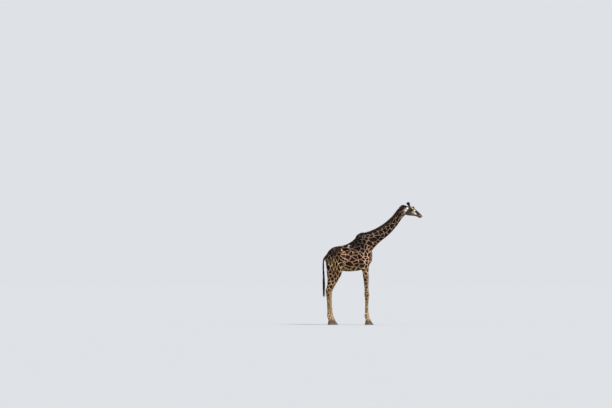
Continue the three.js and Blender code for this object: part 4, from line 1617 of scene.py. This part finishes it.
@dataclass(frozen=True)
class Tufts:
    """One piece of the short coat: many thin, pointed, closed tufts that lie along the skin."""

    name: str
    region: Callable[[Array], Array]
    chart: Callable[[Array], Array]
    count: int
    seed: int
    length: float = 0.015
    width: float = 0.0021
    thick: float = 0.0009
    lift: tuple[float, float] = (0.04, 0.17)
    rooted: float = 0.0007
    half_patch: float = 0.0015

    def build(self, ground: Ground, markings: Markings, finish: Material) -> Object:
        """Makes the piece.

        Args:
            ground: The skin.
            markings: The colours' source.
            finish: The hide's material.

        Returns:
            The piece.
        """
        dice = RandomState(self.seed)
        root, out = ground.sow(self.region(ground.middles()), self.count, dice)
        size = hair_size(root)
        along = on_skin(lie(root) + 0.22 * dice.normal(size=root.shape), out)
        beside = np.cross(out, along)
        long = (self.length * size * dice.uniform(0.75, 1.25, self.count))[:, None]
        wide = (self.width * np.sqrt(size) * dice.uniform(0.8, 1.2, self.count))[:, None]
        rising = dice.uniform(*self.lift, self.count)[:, None]
        base = root - out * self.rooted
        tip = root + along * long + out * (long * rising)
        top = base + out * (self.thick + self.rooted)
        corners = np.stack([base + beside * wide, base - beside * wide, top, tip], axis=1)
        faces = np.array([[0, 1, 2], [0, 2, 3], [2, 1, 3], [1, 0, 3]])
        faces = (faces[None] + np.arange(self.count)[:, None, None] * 4).reshape(-1, 3)
        made = piece(self.name, corners.reshape(-1, 3), faces, finish)
        soft = np.stack([out + 0.30 * beside, out - 0.30 * beside, out, out + 0.25 * along], axis=1)
        made.data.normals_split_custom_set_from_vertices(unit(soft).reshape(-1, 3).tolist())
        shade = np.repeat(dice.uniform(0.15, 0.85, self.count), 4)
        markings.write(made.data, root, shade + np.tile([-0.10, -0.10, 0.0, 0.22], self.count), each=4)
        self.unwrap(made.data, root)
        return made

    def unwrap(self, mesh: Mesh, root: Array) -> None:
        """Gives each tuft its patch of the bake's map, at its root's place on the region's unwrap.

        Args:
            mesh: The tufts' mesh.
            root: The tufts' roots.
        """
        half = self.half_patch
        patch = np.array([[half, -half * 0.7], [-half, -half * 0.7], [0.0, -half], [0.0, half]])
        chart = np.clip(self.chart(root), 0.004, 0.996)
        corner = (chart[:, None, :] + patch[None]).reshape(-1, 2)
        numbers = np.empty(len(mesh.loops), dtype=np.int32)
        mesh.loops.foreach_get("vertex_index", numbers)
        mesh.uv_layers.new(name="OFBake").data.foreach_set("uv", corner[numbers].astype(np.float32).ravel())


def turn_about(y: Array, z: Array) -> Array:
    """Gives the turn round an axis, 0 to 1."""
    return np.arctan2(y, -z) / math.tau + 0.5


@dataclass(frozen=True)
class Regions:
    """Which coat piece a place belongs to, and where it lies on that piece's unwrap."""

    neck_foot: Point = (0.62, 0.0, 2.75)
    neck_way: Point = (0.80, 0.0, 0.60)
    leg_top: float = 1.86
    head_start: float = -0.02
    tail_start: float = -0.79
    hoof_rim: float = 0.134
    hoof_top: float = 0.142
    eyes: EyeOpening = field(default_factory=EyeOpening)

    def up_neck(self, body: Array) -> Array:
        """Gives how far up the neck a body place is."""
        return (body - np.array(self.neck_foot)) @ unit(np.array(self.neck_way))

    def on_head(self, places: Array) -> Array:
        """Tells what is on the head."""
        return (ANATOMY.head(places)[:, 0] > self.head_start) & (places[:, 2] > 3.1)

    def on_neck(self, places: Array) -> Array:
        """Tells what is on the neck."""
        return (self.up_neck(ANATOMY.body(places)) > 0.0) & (places[:, 2] > 2.25) & ~self.on_head(places)

    def on_leg(self, places: Array) -> Array:
        """Tells what is on a leg, below the trunk."""
        ahead = ANATOMY.body(places)[:, 0] > self.tail_start
        return (places[:, 2] < self.leg_top) & ahead & ~self.on_tail(places)

    def on_tail(self, places: Array) -> Array:
        """Tells what is on the tail."""
        body = ANATOMY.body(places)
        return (body[:, 0] < self.tail_start) & (np.abs(body[:, 1]) < 0.06) & (places[:, 2] > 1.45)

    def trunk(self, side: Side, places: Array) -> Array:
        """Weighs places on one side of the trunk, with the tail on the left.

        Args:
            side: The side.
            places: Places of the frame.

        Returns:
            The weights.
        """
        tail = self.on_tail(places)
        rest = ~(self.on_head(places) | self.on_neck(places) | self.on_leg(places) | tail)
        own = rest & (places[:, 1] * side.value >= 0)
        return (own | (tail & (side is Side.LEFT))) * 1.0

    def neck(self, places: Array) -> Array:
        """Weighs places on the neck."""
        return self.on_neck(places) * (1.0 + 0.5 * rise(3.0, 3.6, places[:, 2]))

    def head(self, places: Array) -> Array:
        """Weighs places on the head, clear of the eyes' openings, the lips' line and the nostrils.

        Args:
            places: Places of the frame.

        Returns:
            The weights.
        """
        bare = np.zeros(len(places), dtype=bool)
        for side in Side:
            local = self.eyes.local(places, side)
            bare |= (self.eyes.outside(local) < 0.0022) & (lengths(local) < 0.05)
        head = mirrored(ANATOMY.head(places))
        bare |= distance_to_path(head, MOUTH) < 0.005
        bare |= (from_nostril(head) < 0.008) & (head[:, 0] > 0.5)
        muzzle = rise(0.50, 0.64, head[:, 0])
        return (self.on_head(places) & ~bare) * (1.0 - 0.45 * muzzle)

    def legs(self, fore: bool, places: Array) -> Array:
        """Weighs places on one pair of legs, more densely further down.

        Args:
            fore: Whether the pair is the fore legs.
            places: Places of the frame.

        Returns:
            The weights.
        """
        z = places[:, 2]
        ahead = ANATOMY.body(places)[:, 0] > 0.0
        own = self.on_leg(places) & (ahead == fore) & (z > self.hoof_top)
        return own * (1.0 + 0.6 * rise(1.5, 0.8, z))

    def coronets(self, places: Array) -> Array:
        """Weighs places in the band just above the hooves."""
        z = places[:, 2]
        return self.on_leg(places) * rise(self.hoof_rim, self.hoof_top, z) * rise(0.182, 0.160, z)

    def trunk_chart(self, places: Array) -> Array:
        """Unwraps the trunk round its length, with the tail in a strip beside it.

        Args:
            places: Places of the frame.

        Returns:
            Their places on the unwrap, of shape (n, 2), as the other charts give.
        """
        x, y, z = ANATOMY.body(places).T
        tail = self.on_tail(places)
        u = np.where(tail, turn_about(y, x + 0.84) * 0.06, 0.10 + 0.88 * (x + 0.80) / 1.60)
        v = np.where(tail, (z - 1.45) / 0.95, turn_about(np.abs(y), z - 2.25) * 2.0 - 1.0)
        return np.column_stack([u, v])

    def neck_chart(self, places: Array) -> Array:
        """Unwraps the neck round its length.

        Args:
            places: Places of the frame.

        Returns:
            Their places on the unwrap.
        """
        body = ANATOMY.body(places)
        across = np.array([-0.60, 0.0, 0.80])
        axis = 0.30 * np.sin(np.clip(self.up_neck(body) / 1.8, 0, 1) * math.pi)
        off = (body - np.array(self.neck_foot)) @ across - 0.06 + 0.25 * axis
        return np.column_stack([0.02 + 0.96 * self.up_neck(body) / 1.85, turn_about(body[:, 1], off)])

    def head_chart(self, places: Array) -> Array:
        """Unwraps the head round its length, with the ears and the horns in strips of their own.

        Args:
            places: Places of the frame.

        Returns:
            Their places on the unwrap.
        """
        head = ANATOMY.head(places)
        x, y, z = head.T
        u, v = 0.02 + 0.58 * (x + 0.05) / 0.75, turn_about(y, z + 0.02)
        horn, ear = horn_share(head) > 0.5, ear_share(head) > 0.5
        side = (y > 0) * 0.5
        u = np.where(horn, 0.64 + 0.16 * turn_about(np.abs(y) - 0.09, x - 0.17 + 0.4 * (z - 0.1)), u)
        v = np.where(horn, side + 0.02 + 0.44 * (z - 0.11) / 0.20, v)
        u = np.where(ear, 0.83 + 0.15 * turn_about(z - 0.07, x - 0.03 + 0.5 * (np.abs(y) - 0.12)), u)
        v = np.where(ear, side + 0.02 + 0.44 * (np.abs(y) - 0.09) / 0.13, v)
        return np.column_stack([u, v])

    def leg_chart(self, places: Array) -> Array:
        """Unwraps a pair of legs round their lengths, one beside the other.

        Args:
            places: Places of the frame.

        Returns:
            Their places on the unwrap.
        """
        x, y, z = ANATOMY.standing(places).T
        around = turn_about(np.abs(y) - ANATOMY.leg_y * 0.9, x - ANATOMY.leg_middle(x, z))
        return np.column_stack([(y > 0) * 0.5 + 0.01 + 0.48 * around, 0.02 + 0.96 * (z - 0.13) / 1.75])


@dataclass
class Coat:
    """The short coat, in one piece for each region of the body."""

    regions: Regions = field(default_factory=Regions)

    def build(self, ground: Ground, markings: Markings, finish: Material) -> None:
        """Makes the pieces.

        Args:
            ground: The skin.
            markings: The colours' source.
            finish: The hide's material.
        """
        of = self.regions
        trunk, head, leg = of.trunk_chart, of.head_chart, of.leg_chart
        fine = {"length": 0.0115, "width": 0.0013, "thick": 0.0005, "lift": (0.02, 0.08)}
        fringe = {"length": 0.070, "width": 0.0022, "lift": (0.10, 0.30)}
        kinds = (
            Tufts("coat_trunk_left", partial(of.trunk, Side.LEFT), trunk, 46_000, 11),
            Tufts("coat_trunk_right", partial(of.trunk, Side.RIGHT), trunk, 46_000, 12),
            Tufts("coat_neck", of.neck, of.neck_chart, 44_000, 13),
            Tufts("coat_head", of.head, head, 46_000, 14, **fine),
            Tufts("coat_fore_legs", partial(of.legs, True), leg, 34_000, 15, width=0.0019),
            Tufts("coat_hind_legs", partial(of.legs, False), leg, 38_000, 16, width=0.0019),
            Tufts("coat_coronets", of.coronets, leg, 6_000, 17, **fringe),
        )
        for kind in kinds:
            kind.build(ground, markings, finish)


# ---------------------------------------------------------------- long hair
@dataclass
class Strands:
    """Hairs or locks as thin, closed, pointed prisms along curves, each of three sides."""

    name: str
    finish: Material
    slot: str
    rings: int
    taper: float
    sides: int = 3
    parts: list[tuple[Array, Array]] = field(default_factory=list)

    def grow(self, roots: Array, ways: Array, bends: Array, widths: Array, dice: RandomState,
             wave: float = 0.0) -> None:
        """Adds strands.

        Args:
            roots: Where each begins.
            ways: Each one's way and length.
            bends: What each is moved by at its tip, growing with the square of the way along it.
            widths: Each one's half width at its root.
            dice: The source of chance.
            wave: How far each sways aside, as a share of its length.
        """
        count = len(roots)
        share = np.linspace(0.0, 1.0, self.rings + 1)
        aside = unit(np.cross(ways, np.array([0.31, 0.71, 0.63]) + 0.2 * dice.normal(size=ways.shape)))
        phase = dice.uniform(0, math.tau, count)[:, None]
        sway = np.sin(phase + share[None] * math.tau * 1.15) - np.sin(phase)
        along = share[None, :, None]
        swing = aside[:, None] * sway[:, :, None] * wave * lengths(ways)[:, None, None] * along
        spine = roots[:, None] + ways[:, None] * along + bends[:, None] * along**2 + swing
        ahead = unit(np.gradient(spine, axis=1))
        u = unit(np.cross(ahead, np.broadcast_to(unit(np.cross(aside, ways))[:, None], ahead.shape)))
        v = np.cross(ahead, u)
        turns = (np.arange(self.sides) / self.sides * math.tau)[None, None, :, None]
        around = u[:, :-1, None] * np.cos(turns) + v[:, :-1, None] * np.sin(turns)
        half = widths[:, None] * (1.0 - share[None, :-1]) ** self.taper
        rings = spine[:, :-1, None] + around * half[:, :, None, None]
        corners = np.concatenate([rings.reshape(count, -1, 3), spine[:, -1:]], axis=1)
        values = np.zeros((count, corners.shape[1], 3))
        values[:, :, 0] = np.concatenate([np.repeat(share[:-1], self.sides), [1.0]])[None]
        values[:, :, 1] = dice.rand(count)[:, None]
        self.parts.append((corners, values))

    def faces(self) -> Array:
        """Lists one strand's triangles.

        Returns:
            The triangles, of shape (n, 3).
        """
        s = self.sides
        found = [[0, step + 1, step] for step in range(1, s - 1)]
        for ring in range(self.rings - 1):
            for step in range(s):
                a, b = ring * s + step, ring * s + (step + 1) % s
                found += [[a, b, b + s], [a, b + s, a + s]]
        tip, last = self.rings * s, (self.rings - 1) * s
        return np.array(found + [[last + step, last + (step + 1) % s, tip] for step in range(s)])

    def build(self) -> Object:
        """Makes one piece of all the strands.

        Returns:
            The piece.
        """
        corners, values = (np.concatenate(part) for part in zip(*self.parts))
        number = np.arange(len(corners))[:, None, None] * corners.shape[1]
        faces = (self.faces()[None] + number).reshape(-1, 3)
        made = piece(self.name, corners.reshape(-1, 3), faces, self.finish)
        carry(made.data, "lock", values.reshape(-1, 3))
        return made


def path_places(path: Array, shares: Array, ahead: float = 0.01) -> tuple[Array, Array]:
    """Gives places and ways along a line through some points.

    Args:
        path: The line's points, of shape (n, 3).
        shares: How far along each place is, 0 to 1.
        ahead: How far before and behind a place the line's way is measured.

    Returns:
        The places and the line's way at each.
    """
    reached = np.concatenate([[0.0], np.cumsum(lengths(np.diff(path, axis=0)))])
    at = shares * reached[-1]
    behind, places, beyond = (
        np.column_stack([np.interp(at + off, reached, path[:, axis]) for axis in range(3)])
        for off in (-ahead, 0.0, ahead)
    )
    return places, unit(beyond - behind)


MANE_ALONG = (0.0, 0.03, 0.10, 0.18, 0.40, 0.55, 0.75, 0.93, 0.97, 1.0)  # shares of the crest
MANE_TALL = (0.30, 0.62, 0.85, 1.25, 1.15, 1.40, 1.55, 1.70, 1.20, 0.50)  # height there, in lengths


@dataclass
class Hair:
    """Mane, tail tuft, horn tufts, ear fringes, lashes and whiskers. Each method makes one piece."""

    skin: Object
    eyes: EyeOpening = field(default_factory=EyeOpening)
    regions: Regions = field(default_factory=Regions)
    dock_top: float = 2.14
    dock_fade: float = 0.30

    def __post_init__(self) -> None:
        """Reads the skin once for all pieces."""
        self.ground = Ground.of(self.skin.data)
        self.tree = BVHTree.FromPolygons(self.ground.places.tolist(), self.ground.faces.tolist())

    def drop(self, places: Array, ways: Array, reach: float = 0.3) -> tuple[Array, Array]:
        """Casts rays on to the skin.

        Args:
            places: Where they start.
            ways: Where they go.
            reach: How far they look.

        Returns:
            Which rays met the skin, and where.
        """
        hits = [self.tree.ray_cast(Vector(at), Vector(way), reach)[0] for at, way in zip(places, ways)]
        met = np.array([hit is not None for hit in hits])
        return met, np.array([ORIGIN if hit is None else hit for hit in hits], dtype=float)

    def mane(self, count: int = 12_000, half: float = 0.021, length: float = 0.066) -> None:
        """Makes the mane: short stiff locks that stand along the neck's crest.

        Args:
            count: How many locks.
            half: Half the mane's width.
            length: The locks' usual length.
        """
        dice = RandomState(31)
        share = dice.beta(1.05, 0.95, count)
        at, along = path_places(np.array(NAPE) + ANATOMY.shift(), share)
        up = unit(np.cross(along, np.array([0.0, 1.0, 0.0])))
        up = up * np.sign(up[:, 2])[:, None]
        aside = dice.normal(0.0, 0.5, count).clip(-1, 1) * half * rise(0.0, 0.12, share)
        aside = aside + dice.normal(0, 0.002, count)
        start = at + up * 0.06 + np.column_stack([np.zeros(count), aside, np.zeros(count)])
        met, foot = self.drop(start, -up)
        tall = length * np.interp(share, MANE_ALONG, MANE_TALL) * dice.uniform(0.82, 1.08, count)
        tall *= 1.0 - 0.25 * (np.abs(aside) / half) ** 2
        clump = np.sin(share * 260.0)[:, None] * along * 0.10
        back = along * dice.uniform(0.02, 0.30, count)[:, None]
        way = unit(up + clump - back + 0.10 * dice.normal(size=up.shape))
        way[:, 1] += aside / half * 0.16
        bend = -along * (tall * dice.uniform(0.0, 0.28, count))[:, None]
        widths = dice.uniform(0.0010, 0.0020, count)
        finish = HairFinish("mane_locks", (0.085, 0.034, 0.018), (0.022, 0.011, 0.008), 0.62).build()
        strands = Strands("mane_hair", finish, "mane_hair", rings=3, taper=0.62)
        strands.grow((foot - up * 0.003)[met], (way * tall[:, None])[met], bend[met], widths[met], dice)
        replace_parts(strands.build(), "mane")

    def tail(self, count: int = 760, short: int = 480) -> None:
        """Makes the tail's long, wavy black tuft, and the shorter hair that hangs along the tail above it.

        Args:
            count: How many hairs the tuft has.
            short: How many hang above it.
        """
        dice = RandomState(32)
        low, high = (np.array(corner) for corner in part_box("tail_tuft"))
        centre = (low + high) / 2
        height = dice.uniform(0.0, 1.0, count)
        round_turn = dice.uniform(0.0, math.tau, count)
        ring = np.column_stack([np.cos(round_turn), np.sin(round_turn)])
        thick = 0.014 + 0.004 * height
        top = high[2] - 0.012 + 0.30 * height**1.5
        roots = np.column_stack([centre[0] + thick * ring[:, 0], thick * ring[:, 1], top])
        drop = (top - low[2]) * dice.uniform(0.55, 1.0, count) ** 0.6
        spread = ring * dice.uniform(0.004, 0.030, count)[:, None]
        ways = np.column_stack([spread, -drop])
        bends = np.column_stack([-0.55 * spread, np.zeros(count)])
        finish = HairFinish("tail_locks", (0.016, 0.010, 0.008), (0.006, 0.005, 0.005), 0.3, 0.42).build()
        strands = Strands("tail_hair", finish, "tail_hair", rings=11, taper=0.45)
        strands.grow(roots, ways, bends, dice.uniform(0.0010, 0.0021, count), dice, wave=0.022)
        middles = self.ground.middles()
        faded = self.dock_top - self.dock_fade
        dock = self.regions.on_tail(middles) * rise(self.dock_top, faded, middles[:, 2])
        root, out = self.ground.sow(dock, short, dice)
        long = dice.uniform(0.10, 0.26, short) * (1.0 - 0.6 * rise(faded, self.dock_top, root[:, 2]))
        fall = np.array([0.0, 0.0, -1.0]) * long[:, None] + 0.012 * out
        strands.grow(root - out * 0.001, fall, -0.005 * out, dice.uniform(0.0008, 0.0016, short), dice)
        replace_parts(strands.build(), "tail_tuft")

    def horns(self, count: int = 2600) -> None:
        """Makes the black tufts round the horns' tips.

        Args:
            count: How many hairs both have together.
        """
        dice = RandomState(33)
        middles = self.ground.middles()
        left, right = (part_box(f"ossicone_{word}")[1][2] for word in WORDS)
        top = np.where(middles[:, 1] > 0.0, left, right)
        weights = horn_share(ANATOMY.head(middles)) * rise(top - 0.060, top - 0.030, middles[:, 2])
        root, out = self.ground.sow(weights, count, dice)
        up = ANATOMY.head_axes() @ np.array([-0.42, 0.0, 0.90])
        way = unit(0.75 * out + 0.75 * up + 0.25 * dice.normal(size=out.shape))
        long = dice.uniform(0.009, 0.021, count)[:, None]
        finish = HairFinish("horn_tufts", (0.010, 0.007, 0.006), (0.004, 0.0035, 0.0035), 0.4, 0.5).build()
        strands = Strands("horn_hair", finish, "horn_hair", rings=2, taper=0.7)
        widths = dice.uniform(0.0007, 0.0013, count)
        strands.grow(root - out * 0.001, way * long, up * long * 0.3, widths, dice)
        strands.build()

    def ears(self, count: int = 1000) -> None:
        """Makes the longer, paler hairs in the ears' cups.

        Args:
            count: How many hairs both have together.
        """
        dice = RandomState(34)
        a, b, c = self.ground.corners()
        faces_to = unit(np.cross(b - a, c - a)) @ ANATOMY.head_axes()
        cup = rise(0.0, 0.5, faces_to[:, 0] * 0.6 + faces_to[:, 2] * 0.6)
        weights = ear_share(ANATOMY.head(self.ground.middles())) * cup
        root, out = self.ground.sow(weights, count, dice)
        way = on_skin(lie(root) + 0.3 * dice.normal(size=root.shape), out) + 0.45 * out
        long = dice.uniform(0.008, 0.018, count)[:, None]
        finish = HairFinish("ear_fringe", (0.020, 0.014, 0.011), (0.060, 0.046, 0.036), 0.6, 0.6).build()
        strands = Strands("ear_hair", finish, "hide", rings=2, taper=0.7)
        widths = dice.uniform(0.0005, 0.0010, count)
        strands.grow(root - out * 0.001, way * long, out * long * -0.2, widths, dice)
        strands.build()

    def face(self, whiskers: int = 64) -> None:
        """Makes the lashes, and the whiskers of lips and chin.

        Args:
            whiskers: How many whiskers there are.
        """
        dice = RandomState(35)
        finish = HairFinish("lashes_and_whiskers", (0.010, 0.007, 0.006), (0.010, 0.007, 0.006), 0.5, 0.45)
        strands = Strands("face_hair", finish.build(), "hide", rings=4, taper=0.6)
        lids = ((54, self.eyes.upper, 0.021, 1.0), (30, self.eyes.lower, 0.009, -1.0))
        for side in Side:
            axes = self.eyes.frame_at(side)
            for count, height, long, sign in lids:
                u = np.linspace(-0.92, 0.92, count)
                v = sign * height * np.sqrt(1.0 - np.abs(u) ** 1.7) + sign * 0.0016
                flat = np.column_stack([u * self.eyes.half_length, v])
                w = np.sqrt((self.eyes.ball + self.eyes.lid) ** 2 - np.sum(flat**2, axis=1)) - 0.001
                roots = np.column_stack([flat, w]) @ axes.T + ANATOMY.eye(side)
                out = np.column_stack([0.25 * u, np.full(count, 0.32 * sign), np.ones(count)]) @ axes.T
                length = long * (1.0 - 0.35 * np.abs(u)) * dice.uniform(0.85, 1.1, count)
                bends = (axes @ np.array([0.0, sign * 0.55, -0.28]))[None] * long * np.ones((count, 1))
                strands.grow(roots, unit(out) * length[:, None], bends, np.full(count, 0.00042), dice)
        head = ANATOMY.head(self.ground.middles())
        lips = rise(0.56, 0.62, head[:, 0]) * rise(0.02, -0.02, head[:, 2])
        root, out = self.ground.sow(lips, whiskers, dice)
        long = dice.uniform(0.010, 0.024, whiskers)[:, None]
        way = unit(out + 0.3 * dice.normal(size=out.shape)) * long
        strands.grow(root, way, np.array([0.0, 0.0, -0.4]) * long, np.full(whiskers, 0.00030), dice)
        strands.build()


# ---------------------------------------------------------------- eyes and hooves
@dataclass
class Eyes:
    """The two eyeballs."""

    opening: EyeOpening = field(default_factory=EyeOpening)
    swell: float = 0.0012
    inset: float = 0.0005

    def build(self, side: Side, finish: Material) -> None:
        """Makes one eyeball, with the cornea's rise in its middle.

        Args:
            side: The side of the head.
            finish: Its material.
        """
        ball = unit_ball(64, 40)
        ball.name = ball.data.name = f"eyeball_{side.word}"
        look = positions(ball.data)
        front = rise(0.75, 0.2, lengths(look[:, :2])) * (look[:, 2] > 0)
        radius = self.opening.ball - self.inset + self.swell * front
        axes = self.opening.frame_at(side)
        carry(ball.data, "look", look)
        move_to(ball.data, (look * radius[:, None]) @ axes.T + ANATOMY.eye(side))
        if np.linalg.det(axes) < 0:
            with editing(ball):
                bpy.ops.mesh.flip_normals()
        settle(ball, finish)
        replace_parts(ball, f"eye_{side.word}")


@dataclass
class Hooves:
    """The eight claws, each rounded from a copy of its solid."""

    voxel: float = 0.0045
    rounds: int = 14
    sole: float = 0.012
    ring_depth: float = 0.00035
    swell: float = 0.0008

    def build(self, node: str, finish: Material) -> None:
        """Makes one claw.

        Args:
            node: The solid it replaces.
            finish: Its material.
        """
        claw = solid_copy(node)
        claw.name = claw.data.name = node.replace("hoof", "claw")
        apply_modifier(claw, "REMESH", mode="VOXEL", voxel_size=self.voxel)
        apply_modifier(claw, "SMOOTH", factor=0.5, iterations=self.rounds)
        places, out = positions(claw.data), normals(claw.data)
        wall = np.clip(1.0 - np.abs(out[:, 2]), 0.0, 1.0) * rise(0.0, 0.02, places[:, 2])
        sway = 5.0 * np.sin(places[:, 0] * 31.0 + places[:, 1] * 23.0)
        rings = self.ring_depth * np.sin(places[:, 2] * 330.0 + sway) * wall
        places = places + out * (rings + self.swell)[:, None]
        places[:, 2] -= rise(self.sole, 0.001, places[:, 2]) * places[:, 2]
        move_to(claw.data, places)
        settle(claw, finish)
        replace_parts(claw, node)


# ---------------------------------------------------------------- floor, light and camera
@dataclass
class Studio:
    """A pale floor, soft light, and the camera far off on the animal's right."""

    lens: float = 300.0
    sensor: float = 36.0
    frame_width: float = 20.50
    eye_height: float = 1.60
    centre: tuple[float, float] = (-2.229, 4.05)
    floor_radius: float = 900.0
    suns: tuple[tuple[str, float, float, Point], ...] = (  # name, strength, angle and way
        ("key", 2.9, 16.0, (-0.42, 0.62, -0.66)),
        ("fill", 0.5, 60.0, (0.5, 0.5, -0.5)),
    )

    def build(self) -> None:
        """Makes the floor, the lights, the world and the camera."""
        self.floor()
        self.light()
        self.camera()

    def floor(self) -> None:
        """Makes the floor."""
        radius = self.floor_radius
        bpy.ops.object.select_all(action="DESELECT")
        bpy.ops.mesh.primitive_circle_add(vertices=96, radius=radius, fill_type="NGON", location=ORIGIN)
        floor = bpy.context.view_layer.objects.active
        floor.name = "studio_floor"
        n = Nodes("studio_paint")
        colour = n.mix(n.grain(n.place(), 1.4, 3.0), (0.504, 0.524, 0.551), (0.525, 0.544, 0.571))
        floor.data.materials.append(n.finish(colour, 0.9, Specular_IOR_Level=0.0))

    def light(self) -> None:
        """Makes the world's soft light and a broad, low sun from ahead of the animal."""
        world = bpy.data.worlds.new("studio_air")
        bpy.context.scene.world = world
        world.use_nodes = True
        air = world.node_tree.nodes["Background"]
        air.inputs["Color"].default_value = (0.86, 0.89, 0.93, 1.0)
        air.inputs["Strength"].default_value = 0.85
        for name, energy, angle, way in self.suns:
            data = bpy.data.lights.new(name, "SUN")
            data.energy, data.angle = energy, math.radians(angle)
            data.color = (1.0, 0.95, 0.88)
            lamp = bpy.data.objects.new(name, data)
            bpy.context.scene.collection.objects.link(lamp)
            lamp.rotation_euler = Vector(way).to_track_quat("-Z", "Y").to_euler()
        bpy.context.scene.view_settings.view_transform = "Standard"

    def camera(self) -> None:
        """Places the camera."""
        data = bpy.data.cameras.new("camera")
        data.lens, data.sensor_width = self.lens, self.sensor
        data.clip_start, data.clip_end = 1.0, 3000.0
        camera = bpy.data.objects.new("camera", data)
        bpy.context.scene.collection.objects.link(camera)
        x, z = self.centre
        camera.location = (x, -self.frame_width * self.lens / self.sensor, self.eye_height)
        aim = Vector((x, 0.0, z)) - camera.location
        camera.rotation_euler = aim.to_track_quat("-Z", "Y").to_euler()
        bpy.context.scene.camera = camera


def main() -> None:
    """Builds every sub-assembly in order and reports it."""
    logging.basicConfig(level=logging.INFO, format="%(message)s")
    Studio().build()
    hide = Hide().build()
    skin = Skin().build()
    places = positions(skin.data)
    markings = Markings(places)
    markings.write(skin.data, places, np.full(len(places), 0.5))
    settle(skin, hide)
    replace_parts(skin, *FLESH)
    Coat().build(Ground.of(skin.data), markings, hide)
    hair = Hair(skin)
    for grow in (hair.mane, hair.tail, hair.horns, hair.ears, hair.face):
        grow()
    wet = EyeFinish().build()
    for side in Side:
        Eyes().build(side, wet)
    horn = HoofFinish().build()
    for end in ("front", "hind"):
        for word in WORDS:
            for place in ("outer", "inner"):
                Hooves().build(f"{end}_hoof_{word}_{place}", horn)


if __name__ == "__main__":
    main()
